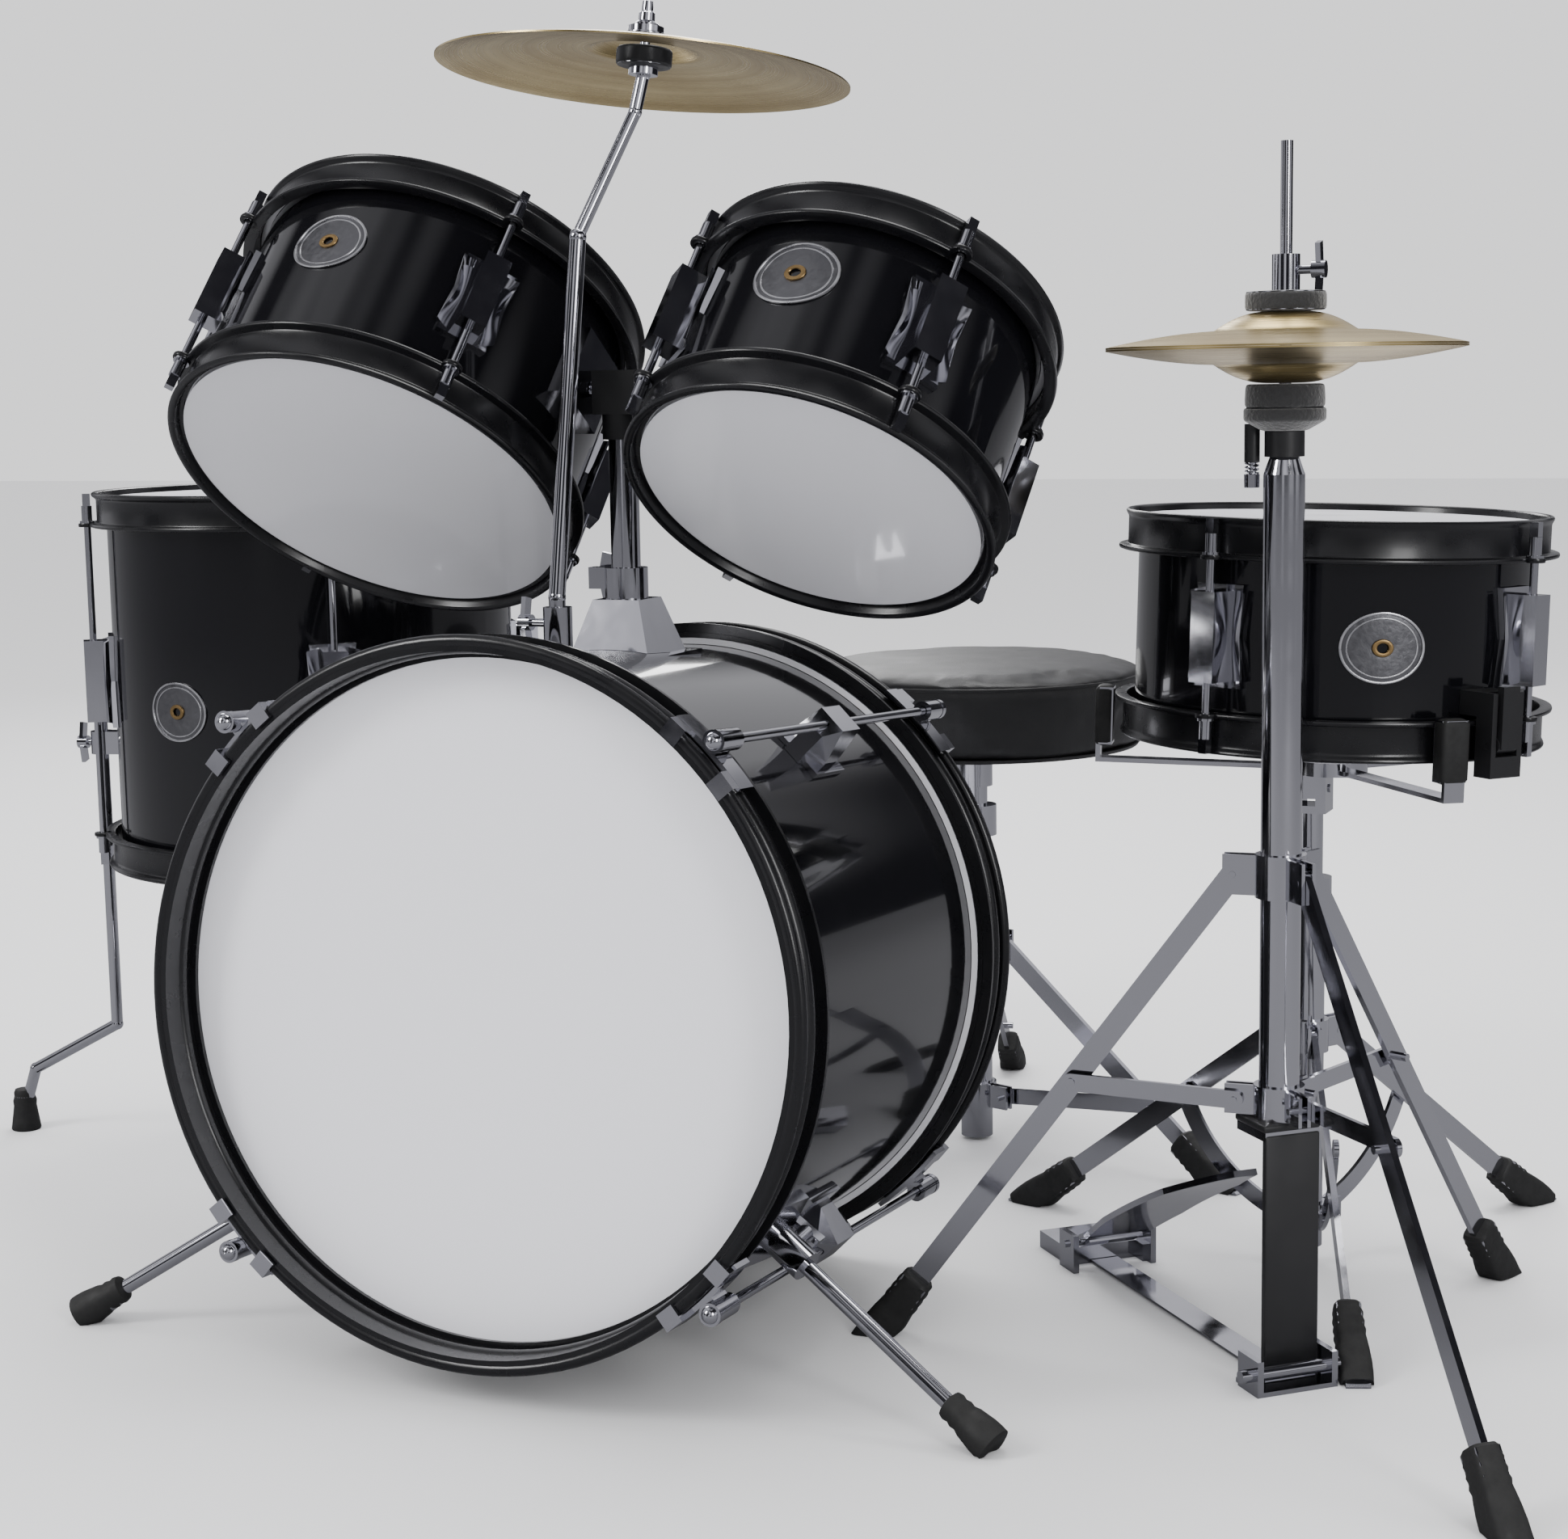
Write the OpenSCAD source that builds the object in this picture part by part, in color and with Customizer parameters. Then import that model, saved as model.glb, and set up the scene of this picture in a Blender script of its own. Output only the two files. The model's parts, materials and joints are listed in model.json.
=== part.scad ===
// Junior five-piece drum kit: bass drum with two mounted toms and a crash cymbal,
// floor tom, snare drum on its stand, hi-hat, bass pedal and throne.
// Every drum is drawn along its own axis, from the lower (or front) rim at z = 0
// to the batter rim at z = length, and then laid in its place on the floor z = 0.

/* [Drums] */
// Diameter of the bass drum shell
bass_d = 406.4; // [400:0.1:410]
// Bass drum, rim to rim
bass_len = 353; // [345:1:360]
// Diameter of the floor tom shell
floor_d = 304.8; // [300:0.1:308]
// Floor tom, rim to rim
floor_len = 286; // [280:1:292]
// Diameter of the left tom shell
left_d = 254; // [250:0.1:256]
// Left tom, rim to rim
left_len = 166; // [160:1:172]
// Diameter of the right tom shell
right_d = 203.2; // [200:0.1:205]
// Right tom, rim to rim
right_len = 148; // [142:1:152]
// Diameter of the snare drum shell
snare_d = 254; // [250:0.1:256]
// Snare drum, rim to rim
snare_len = 147; // [142:1:152]
// Thickness of every shell
wall = 5; // [4:0.5:7]
// Height of a tom or snare hoop
hoop_h = 26; // [22:1:28]
// Radius of a tension rod
rod_r = 2.6; // [2.2:0.1:3]

/* [Cymbals] */
// Diameter of the crash cymbal
crash_d = 254; // [230:1:260]
// Diameter of the hi-hat cymbals
hihat_d = 205; // [190:1:206]
// Thickness of cymbal metal
metal_t = 1; // [0.8:0.1:1.2]

/* [Stands] */
// Radius of the stand tubes
tube_r = 12; // [11:0.5:12.5]
// Floor radius of the hi-hat tripod
hihat_foot_r = 246; // [238:1:252]
// Floor radius of the snare tripod
snare_foot_r = 216; // [208:1:222]
// Floor radius of the throne tripod
throne_foot_r = 221; // [210:1:228]
// Width of the tripod leg strips
leg_w = 17; // [14:1:18]
// Diameter of the throne seat
seat_d = 276; // [258:1:282]
// Height of the throne seat above the floor
seat_top = 386; // [380:1:390]

/* [Hidden] */
$fn = 72;
gap = 0.3;

// Places: [point of the lower rim's centre, compass heading, elevation of the axis]
kit_shift = [28.36, -438.88, 0];
bass_tilt = 3.67;
bass_place = [[0, 0, 240.1], 0, -bass_tilt];
left_place = [[-163.6, 181.6, 533], 3.7, 50.4];
right_place = [[183, 96.6, 526], 7.3, 50.9];
floor_place = [[-382, 445, 239], 0, 90];
snare_place = [[415, 419.3, 363], 66.4, 88.3];
hihat_at = [431.5, 217.5];
snare_at = [400, 437];
throne_at = [87, 650];
post_at = [0, 228];
arm_at = [0, 133];

bass_r = bass_d / 2;
floor_r = floor_d / 2;
left_r = left_d / 2;
right_r = right_d / 2;
snare_r = snare_d / 2;
edge = 5.5;
rod_off = 14.2;
bass_rod_off = 26;
bass_edge = 30;
bass_hoop_h = 39;
lug_angles = [0, 90, 180, 270];

// ---------- placing ----------
module lay(place) {
    translate(kit_shift + place[0])
        rotate([place[2] - 90, 0, -place[1]])
            children();
}
module on_floor(at, turn = 0) {
    translate(kit_shift + [at[0], at[1], 0])
        rotate(turn)
            children();
}
module bar(a, b, r) {
    v = b - a;
    len = norm(v);
    translate(a)
        rotate([0, acos(v[2] / len), atan2(v[1], v[0])])
            cylinder(r = r, h = len);
}
// Ball that closes the corner between two bars, a little prouder than they are
module elbow(p, r) {
    translate(p)
        sphere(r = r + 0.3, $fn = 48);
}
module both_ends(len) {
    children();
    translate([0, 0, len])
        mirror([0, 0, 1])
            children();
}

// ---------- parts that every drum has ----------
module drum_shell(r, len, at_edge) {
    difference() {
        translate([0, 0, at_edge])
            cylinder(r = r, h = len - 2 * at_edge);
        cylinder(r = r - wall, h = len);
    }
}
module drum_head(r, at_edge) {
    rotate_extrude()
        polygon([[0, at_edge - 0.8], [r + 1, at_edge - 0.8], [r + 1, at_edge + 4], [r + 4.4, at_edge + 4],
            [r + 4.4, at_edge + 8], [r + gap, at_edge + 8], [r + gap, at_edge], [0, at_edge]]);
}
// Pressed steel hoop: rolled rim, clamping shoulder on the head and a flange with ears
module flanged_hoop(r, lip_r, first) {
    difference() {
        union() {
            rotate_extrude() {
                translate([r + 4.7, 1])
                    square([2.3, hoop_h - 1]);
                translate([r + 4.7, 0])
                    square([lip_r - r - 4.7, 3]);
                translate([r + 1.6, edge + 1.2])
                    square([4, 2.6]);
                translate([r + 4.7, hoop_h - 2.6])
                    square([8.3, 2.6]);
            }
            for (a = lug_angles)
                rotate(a + first)
                    translate([r + rod_off, 0, hoop_h - 2.8])
                        cylinder(r = 6.2, h = 2.6);
        }
        for (a = lug_angles)
            rotate(a + first)
                translate([r + rod_off, 0, hoop_h - 4])
                    cylinder(r = rod_r + 0.4, h = 6);
    }
}
// Square-headed rod with its washer, pointing up out of the hoop's ear
module tension_rod(len) {
    translate([0, 0, hoop_h - 2.6 - gap]) {
        translate([0, 0, -1.6])
            cylinder(r = 5.4, h = 1.6);
        translate([0, 0, -13])
            cylinder(r = 3.9, h = 11.8);
        translate([-2.9, -2.9, -22])
            cube([5.8, 5.8, 9.5]);
        cylinder(r = rod_r, h = len - hoop_h + 3);
    }
}
// Box lug on a waisted plate, cut to sit on the shell
module box_lug(r, len) {
    difference() {
        union() {
            translate([r - 3, -8.5, -len / 2])
                cube([24.5, 17, len]);
            translate([r - 3, 0, 0])
                rotate([90, 0, 90])
                    linear_extrude(6)
                        polygon([[-17, -len / 2 - 4], [17, -len / 2 - 4], [12, 0], [17, len / 2 + 4],
                            [-17, len / 2 + 4], [-12, 0]]);
        }
        cylinder(r = r + gap / 2, h = 2 * len, center = true);
        translate([r + rod_off, 0, -len])
            cylinder(r = rod_r + 0.15, h = 2 * len);
    }
}
module drum_hardware(r, len, lug_len, first) {
    for (a = lug_angles)
        rotate(a + first) {
            translate([0, 0, len / 2])
                box_lug(r, lug_len);
            translate([r + rod_off, 0, 0])
                both_ends(len)
                    tension_rod(len / 2 - lug_len / 2 + 12);
        }
}

// ---------- bass drum ----------
spur_foot = [309, 38, 8];
spur_eye = [174, 73, 93];
spur_dir = (spur_foot - spur_eye) / norm(spur_foot - spur_eye);
spur_r = 4.8;
module spur_pair() {
    translate(kit_shift)
        children();
    translate(kit_shift)
        mirror([1, 0, 0])
            children();
}
module bass_shell() color([0.03, 0.03, 0.035]) {
    difference() {
        lay(bass_place)
            drum_shell(bass_r, bass_len, bass_edge);
        spur_pair()
            bar(spur_eye - 60 * spur_dir, spur_eye + 40 * spur_dir, spur_r + 1.2);
    }
}
module bass_hoop(r) {
    rotate_extrude() {
        translate([r + 5, 2.5])
            square([3, bass_hoop_h - 3]);
        translate([r + 5, 1])
            square([7, 4]);
        translate([r + 11, 4])
            circle(r = 4, $fn = 32);
        translate([r + 8, 19])
            circle(r = 5, $fn = 32);
        translate([r + 5, bass_hoop_h - 5])
            square([9.5, 3]);
        translate([r + 0.8, bass_edge - 4])
            square([5, 2.6]);
    }
}
module bass_hoops() color([0.03, 0.03, 0.03])
    lay(bass_place)
        both_ends(bass_len)
            bass_hoop(bass_r);
module bass_heads() color([0.9, 0.9, 0.92])
    lay(bass_place)
        both_ends(bass_len)
            drum_head(bass_r, bass_edge);
module bass_lug() {
    difference() {
        union() {
            hull() {
                translate([bass_r - 3, -15, -9])
                    cube([10, 30, 18]);
                translate([bass_r - 3, -6, -27])
                    cube([26, 12, 54]);
                translate([bass_r - 3, -10, -14])
                    cube([34, 20, 28]);
            }
            translate([bass_r - 4, -19, -22])
                cube([7, 38, 44]);
        }
        cylinder(r = bass_r + gap / 2, h = 200, center = true);
        translate([bass_r + bass_rod_off, 0, -100])
            cylinder(r = 3.2, h = 200);
    }
}
module bass_lugs() color("silver")
    lay(bass_place)
        for (a = lug_angles)
            rotate(a + 45)
                translate([0, 0, bass_len / 2])
                    bass_lug();
// Claw: saddle behind the rod's sleeve and two fingers hooked over the hoop's rim
module bass_claw() {
    r = bass_r;
    difference() {
        union() {
            translate([r + bass_rod_off, 0, 4])
                cylinder(r = 6.5, h = 22);
            intersection() {
                rotate_extrude()
                    translate([r + 15.6, 6])
                        square([3, 18]);
                translate([r, -28, 0])
                    cube([40, 56, 40]);
            }
            translate([r + 16, -4, 6])
                cube([8, 8, 18]);
        }
        translate([r + bass_rod_off, 0, 0])
            cylinder(r = 3.4, h = 60);
    }
    for (s = [-1, 1])
        rotate(s * 5.5)
            difference() {
                union() {
                    translate([r + 13, -6, -3])
                        cube([5.5, 12, 15]);
                    translate([r + 7, -6, -3])
                        cube([8, 12, 2.6]);
                }
                translate([r + 11, 20, 4])
                    rotate([90, 0, 0])
                        cylinder(r = 4.3, h = 40);
            }
}
module bass_tension_rods() color("silver")
    lay(bass_place)
        for (a = lug_angles)
            rotate(a + 45)
                both_ends(bass_len) {
                    bass_claw();
                    translate([bass_r + bass_rod_off, 0, 0]) {
                        translate([0, 0, 1])
                            cylinder(r = 3, h = bass_len / 2 - 21);
                        translate([0, 0, -1.4])
                            cylinder(r = 6.8, h = 5);
                        sphere(r = 5.4, $fn = 32);
                    }
                }
module spur_bracket() {
    a = spur_eye - 14 * spur_dir;
    b = spur_eye + 16 * spur_dir;
    difference() {
        union() {
            bar(a, b, 10);
            bar(spur_eye + [0, 0, 0], spur_eye + [0, 26, 2], 5);
            translate(spur_eye + [0, 30, 2])
                rotate([0, 35, 0])
                    cube([20, 9, 4], center = true);
            translate(spur_eye - 17 * spur_dir)
                rotate([0, acos(spur_dir[2]), atan2(spur_dir[1], spur_dir[0])])
                    cube([46, 40, 8], center = true);
        }
        bar(spur_eye - 60 * spur_dir, spur_eye + 60 * spur_dir, spur_r + 0.08);
        translate(-kit_shift)
            lay(bass_place)
                cylinder(r = bass_r + gap / 2, h = bass_len);
    }
}
module spur_brackets() color("silver")
    spur_pair()
        spur_bracket();
// Disappearing spur: straight rod with a rubber tip, sliding through its bracket
module spur() {
    bar(spur_eye - 45 * spur_dir, spur_foot - 12 * spur_dir, spur_r);
    difference() {
        hull() {
            bar(spur_foot - 26 * spur_dir, spur_foot - 24 * spur_dir, 8, $fn = 24);
            bar(spur_foot - 2 * spur_dir, spur_foot + 4 * spur_dir, 10.5, $fn = 24);
        }
        translate(spur_foot + [-40, -40, -28])
            cube([80, 80, 20]);
    }
}
module spur_left() color("silver")
    translate(kit_shift)
        mirror([1, 0, 0])
            spur();
module spur_right() color("silver")
    translate(kit_shift)
        spur();

// ---------- tom mount on the bass drum ----------
post_r = 9.5;
mount_z = 430;
collar_top = 482;
holder_z = 584;
arm_r = 5.2;
cast_w = 60;
module wing_bolt(len) {
    rotate([0, 90, 0])
        cylinder(r = 2.6, h = len);
    translate([len - 2, 0, 0])
        rotate([0, 90, 0])
            cylinder(r = 5, h = 8);
    for (s = [-1, 1])
        translate([len + 2, 0, s * 9])
            rotate([s * 12, 0, 0])
                cube([3, 8, 13], center = true);
}
module tom_mount_base() color("silver") {
    difference() {
        union() {
            on_floor(post_at) {
                translate([0, 0, mount_z - 10])
                    linear_extrude(42, scale = 0.55)
                        square([cast_w, cast_w], center = true);
                translate([0, 0, collar_top - 36])
                    cylinder(r = 14, h = 36);
                translate([-25, -5, collar_top - 14])
                    cube([15, 10, 14]);
                translate([-19, 4, collar_top - 7])
                    rotate(90)
                        wing_bolt(4);
            }
            translate(kit_shift + [-36, post_at[1] - 36, mount_z - 12])
                cube([72, 72, 9]);
            on_floor(arm_at) {
                translate([0, 0, mount_z - 8])
                    cylinder(r = 9, h = 42);
                translate([-14, -14, mount_z - 10])
                    cube([28, 28, 12]);
                translate([-6, 0, mount_z + 24])
                    rotate(180)
                        wing_bolt(14);
            }
        }
        lay(bass_place)
            cylinder(r = bass_r + gap / 2, h = bass_len);
        on_floor(post_at)
            translate([0, 0, mount_z + 2])
                cylinder(r = post_r + 0.08, h = 60);
        on_floor(arm_at)
            translate([0, 0, mount_z - 2])
                cylinder(r = arm_r + 0.08, h = 60);
    }
}
module tom_post() color("silver")
    on_floor(post_at) {
        translate([0, 0, mount_z + 24])
            cylinder(r = post_r, h = holder_z - mount_z - 24);
    }
module tom_holder() color([0.05, 0.05, 0.05])
    on_floor(post_at)
        difference() {
            union() {
                translate([-15, -13, holder_z - 4])
                    cube([30, 26, 28]);
                translate([0, 0, holder_z - 20])
                    cylinder(r = 13, h = 20);
            }
            translate([0, 0, holder_z - 40])
                cylinder(r = post_r + gap / 2, h = 40);
            translate([-30, 0, holder_z + 12])
                rotate([0, 90, 0])
                    cylinder(r = arm_r + 0.08, h = 60);
        }
// Arms: rods that turn in the holder and end in a bracket on the tom's side
holder_pin = [post_at[0], post_at[1], holder_z + 12];
right_mid = [188.9, 142.9, 583.4];
module side_bracket(r, side, plate_h) {
    difference() {
        translate([side * (r + 4) - 8, -22, -plate_h / 2])
            cube([16, 44, plate_h]);
        cylinder(r = r + gap / 2, h = 200, center = true);
    }
}
module left_tom_arm() color("silver") {
    lay(left_place)
        translate([0, 0, left_len / 2 + 6])
            side_bracket(left_r, 1, 52);
    translate(kit_shift)
        bar(holder_pin, holder_pin - [21, 0, 0], arm_r);
}
module right_tom_arm() color("silver") {
    lay(right_place)
        translate([0, 0, right_len / 2])
            side_bracket(right_r, -1, 46);
    translate(kit_shift) {
        corner = holder_pin + [52, 0, 0];
        bar(holder_pin + [0.5, 0, 0], corner, arm_r);
        elbow(corner, arm_r);
        bar(corner, right_mid + [-108, 14, 4], arm_r);
    }
}
module tom_shell(place, r, len) color([0.03, 0.03, 0.035])
    lay(place)
        drum_shell(r, len, edge);
module tom_hoops(place, r, len, lip, first) color([0.03, 0.03, 0.03])
    lay(place)
        both_ends(len)
            flanged_hoop(r, lip, first);
module tom_heads(place, r, len) color([0.85, 0.85, 0.88])
    lay(place)
        both_ends(len)
            drum_head(r, edge);
module left_tom_shell() tom_shell(left_place, left_r, left_len);
module left_tom_hoops() tom_hoops(left_place, left_r, left_len, left_r + 10.4, 49);
module left_tom_heads() tom_heads(left_place, left_r, left_len);
module left_tom_hardware() color("silver")
    lay(left_place)
        drum_hardware(left_r, left_len, 52, 49);
module right_tom_shell() tom_shell(right_place, right_r, right_len);
module right_tom_hoops() tom_hoops(right_place, right_r, right_len, right_r + 10.4, 51);
module right_tom_heads() tom_heads(right_place, right_r, right_len);
module right_tom_hardware() color("silver")
    lay(right_place)
        drum_hardware(right_r, right_len, 52, 51);

// ---------- floor tom ----------
floor_first = 38;
floor_leg_angles = [192, 312, 72];
floor_leg_toes = [-12, -30, 0];
floor_leg_off = 29;
floor_leg_r = 4.6;
bracket_z = 86;
module floor_tom_shell() tom_shell(floor_place, floor_r, floor_len);
module floor_tom_hoops() tom_hoops(floor_place, floor_r, floor_len, floor_r + 10.4, floor_first);
module floor_tom_heads() tom_heads(floor_place, floor_r, floor_len);
module floor_tom_hardware() color("silver")
    lay(floor_place) {
        drum_hardware(floor_r, floor_len, 62, floor_first);
        for (a = floor_leg_angles)
            rotate(a)
                difference() {
                    union() {
                        translate([floor_r - 3, -15, bracket_z - 16])
                            cube([8, 30, 32]);
                        translate([floor_r, -7, bracket_z - 9])
                            cube([floor_leg_off, 14, 18]);
                        translate([floor_r + floor_leg_off, 0, bracket_z - 9])
                            cylinder(r = 9, h = 18);
                        translate([floor_r + floor_leg_off + 6, 0, bracket_z])
                            wing_bolt(8);
                    }
                    cylinder(r = floor_r + gap / 2, h = 300);
                    translate([floor_r + floor_leg_off, 0, 0])
                        cylinder(r = floor_leg_r + 0.08, h = 300);
                }
    }
// Dog-legged leg: straight rod in the bracket, kicked out above a rubber foot
module floor_leg(i) {
    drop = floor_place[0][2];
    lay(floor_place)
        rotate(floor_leg_angles[i])
            translate([floor_r + floor_leg_off, 0, -drop])
                rotate(floor_leg_toes[i]) {
                    bar([0, 0, 96], [0, 0, drop + bracket_z + 60], floor_leg_r);
                    elbow([0, 0, 96], floor_leg_r);
                    bar([0, 0, 96], [84, 0, 52], floor_leg_r);
                    elbow([84, 0, 52], floor_leg_r);
                    bar([84, 0, 52], [95, 0, 22], floor_leg_r);
                    translate([97, 0, 0])
                        cylinder(r1 = 11, r2 = 8, h = 32);
                }
}
module floor_leg_left() color("silver") floor_leg(0);
module floor_leg_front() color("silver") floor_leg(1);
module floor_leg_rear() color("silver") floor_leg(2);

// ---------- snare drum ----------
snare_first = 46.4;
strainer_turn = 32;
lever_at = [23.5, 12];
arm_turns = [258.4, 18.4, 121.4];
module snare_shell() tom_shell(snare_place, snare_r, snare_len);
module snare_hoops() tom_hoops(snare_place, snare_r, snare_len, snare_r + 8.6, snare_first);
module snare_heads() tom_heads(snare_place, snare_r, snare_len);
module snare_hardware() color("silver")
    lay(snare_place)
        drum_hardware(snare_r, snare_len, 56, snare_first);
module snare_wires() color("silver")
    lay(snare_place)
        rotate(strainer_turn) {
            for (i = [-4.5:1:4.5])
                translate([-86, i * 4 - 0.8, edge - 3.4])
                    cube([172, 1.6, 1.6]);
            for (s = [-1, 1])
                translate([s * 92 - 8, -23, edge - 3.6])
                    cube([16, 46, 2]);
        }
module snare_strainer() color([0.05, 0.05, 0.05])
    lay(snare_place)
        rotate(strainer_turn)
            difference() {
                union() {
                    translate([snare_r + 13.6, -13, -8])
                        cube([13.4, 26, 52]);
                    translate([snare_r - 3, -13, 29])
                        cube([18, 26, 15]);
                    translate([-snare_r - 13, -13, 36])
                        cube([16, 26, 26]);
                }
                cylinder(r = snare_r + gap / 2, h = 200);
                translate([snare_r + lever_at[0], -20, lever_at[1]])
                    rotate([-90, 0, 0])
                        cylinder(r = 2.08, h = 60);
                translate([snare_r + 18, -9, 5])
                    cube([30, 18, 60]);
            }
module strainer_lever() color([0.08, 0.08, 0.08])
    lay(snare_place)
        rotate(strainer_turn) {
            translate([snare_r + lever_at[0], -12.5, lever_at[1]])
                rotate([-90, 0, 0])
                    cylinder(r = 2, h = 25);
            translate([snare_r + lever_at[0], -8, lever_at[1]])
                rotate([-90, 0, 0])
                    cylinder(r = 5, h = 16);
            translate([snare_r + lever_at[0] + 1, -7, lever_at[1] - 2])
                cube([5, 14, 38]);
        }

// ---------- tripods ----------
// Collar with three pairs of ears, round a tube
module leg_collar(z, pivot_r, h, bore, leg_t, turns) {
    difference() {
        union() {
            translate([0, 0, z - h / 2])
                cylinder(r = bore + 3, h = h);
            for (a = turns)
                rotate(a)
                    for (s = [-1, 1])
                        translate([0, s * (leg_t / 2 + gap + 1.1) - 1.1, z - h / 2 + 1])
                            cube([pivot_r + 6, 2.2, h - 2]);
        }
        translate([0, 0, z - h])
            cylinder(r = bore, h = 2 * h);
        for (a = turns)
            rotate(a) {
                translate([pivot_r, 20, z])
                    rotate([90, 0, 0])
                        cylinder(r = 2.05, h = 40);
                translate([bore + 3.2, -leg_t / 2 - gap, z - h])
                    cube([60, leg_t + 2 * gap, 2 * h]);
            }
    }
}
// Flat strip in the radial plane from one pivot towards another, with a rounded end
module strip(p, q, w, t) {
    v = q - p;
    len = norm(v);
    translate([p[0], 0, p[1]])
        rotate([0, -atan2(v[1], v[0]), 0]) {
            translate([0, -t / 2, -w / 2])
                cube([len, t, w]);
            for (x = [0, len])
                translate([x, t / 2, 0])
                    rotate([90, 0, 0])
                        cylinder(r = w / 2, h = t);
        }
}
module cross_pin(p, r, half) {
    translate([p[0], half, p[1]])
        rotate([90, 0, 0])
            cylinder(r = r, h = 2 * half);
}
module tripod_leg(top, foot_r, t) {
    v = [foot_r, 10] - top;
    strip(top, [foot_r, 10] - 26 * v / norm(v), leg_w - 3, t);
    intersection() {
        translate([foot_r, 0, 10])
            rotate([0, atan2(v[0], v[1]), 0])
                translate([-9, -7.5, -34])
                    cube([18, 15, 60]);
        translate([foot_r - 60, -12, 0])
            cube([90, 24, 60]);
    }
    cross_pin(top, 2, t / 2 + gap + 2.4);
}

// ---------- snare stand ----------
snare_pivot = [24, 158];
snare_low = [22, 34];
snare_turns = [164, 290, 57];
snare_mid = 0.36;
snare_leg_t = 4;
snare_joint = snare_pivot + snare_mid * ([snare_foot_r, 10] - snare_pivot);
brace_shift = 5.7;
module snare_stand_tube() color("silver")
    on_floor(snare_at) {
        difference() {
            translate([0, 0, 12])
                cylinder(r = 10, h = 248);
            translate([0, 0, 16])
                cylinder(r = 8.08, h = 300);
        }
        leg_collar(snare_low[1], snare_low[0], 16, 10 + gap / 2, 3, snare_turns);
        difference() {
            translate([0, 0, 246])
                cylinder(r = 14, h = 20);
            translate([0, 0, 200])
                cylinder(r = 10 + gap / 2, h = 60.2);
            cylinder(r = 8.08, h = 300);
        }
        rotate(100)
            translate([13, 0, 256])
                wing_bolt(8);
    }
// The upper collar slides up the tube and draws the legs in
module snare_stand_collar() color("silver")
    on_floor(snare_at)
        leg_collar(snare_pivot[1], snare_pivot[0], 22, 10.06, snare_leg_t, snare_turns);
module snare_leg(k) color("silver")
    on_floor(snare_at, snare_turns[k])
        tripod_leg(snare_pivot, snare_foot_r, snare_leg_t);
module snare_leg_left() snare_leg(0);
module snare_leg_front() snare_leg(1);
module snare_leg_rear() snare_leg(2);
// Bowed brace: an arc in the radial plane from the low collar up to the leg
module snare_brace(k) color("silver") {
    chord = snare_joint - snare_low;
    span = norm(chord);
    sag = 11;
    arc_r = (span * span / 4 + sag * sag) / (2 * sag);
    mid = (snare_joint + snare_low) / 2;
    side = [chord[1], -chord[0]] / span;
    centre = mid - (arc_r - sag) * side;
    on_floor(snare_at, snare_turns[k]) {
        intersection() {
            translate([centre[0], brace_shift + 1.5, centre[1]])
                rotate([90, 0, 0])
                    difference() {
                        cylinder(r = arc_r + 6, h = 3);
                        translate([0, 0, -1])
                            cylinder(r = arc_r - 6, h = 5);
                    }
            translate([mid[0], 0, mid[1]])
                rotate([0, -atan2(chord[1], chord[0]), 0])
                    cube([span - 3, 40, 60], center = true);
        }
        for (p = [snare_low, snare_joint])
            translate([0, brace_shift, 0])
                cross_pin(p, 6, 1.6);
        translate([0, 1.6, 0])
            cross_pin(snare_low, 2, 5.9);
    }
}
module snare_brace_left() snare_brace(0);
module snare_brace_front() snare_brace(1);
module snare_brace_rear() snare_brace(2);
// Sliding tube that ends in the two cheeks of the tilter
tilt_z = 326;
module snare_tilter() color("silver")
    on_floor(snare_at)
        difference() {
            union() {
                translate([0, 0, 120])
                    cylinder(r = 8, h = 196);
                translate([-12, -12, 310])
                    cube([24, 24, 25]);
            }
            translate([-5.3, -20, 315])
                cube([10.6, 40, 40]);
            translate([-20, 0, tilt_z])
                rotate([0, 90, 0])
                    cylinder(r = 3.06, h = 40);
        }
// Basket: tongue on the tilter's pin and three strip arms with rubber-tipped hooks
module snare_basket() color("silver") {
    on_floor(snare_at)
        translate([-13, 0, tilt_z])
            rotate([0, 90, 0])
                cylinder(r = 3, h = 26);
    lay(snare_place) {
        translate([0, 0, -24])
            cylinder(r = 26, h = 9);
        for (a = arm_turns)
            rotate(a) {
                translate([12, -7, -22])
                    cube([139.5, 14, 3]);
                translate([148.5, -7, -22])
                    cube([3, 14, 50]);
                translate([140.6, -9, -10])
                    cube([9, 18, 38]);
            }
    }
    on_floor(snare_at)
        translate([-5, -7, tilt_z - 7])
            cube([10, 14, 24]);
}

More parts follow.
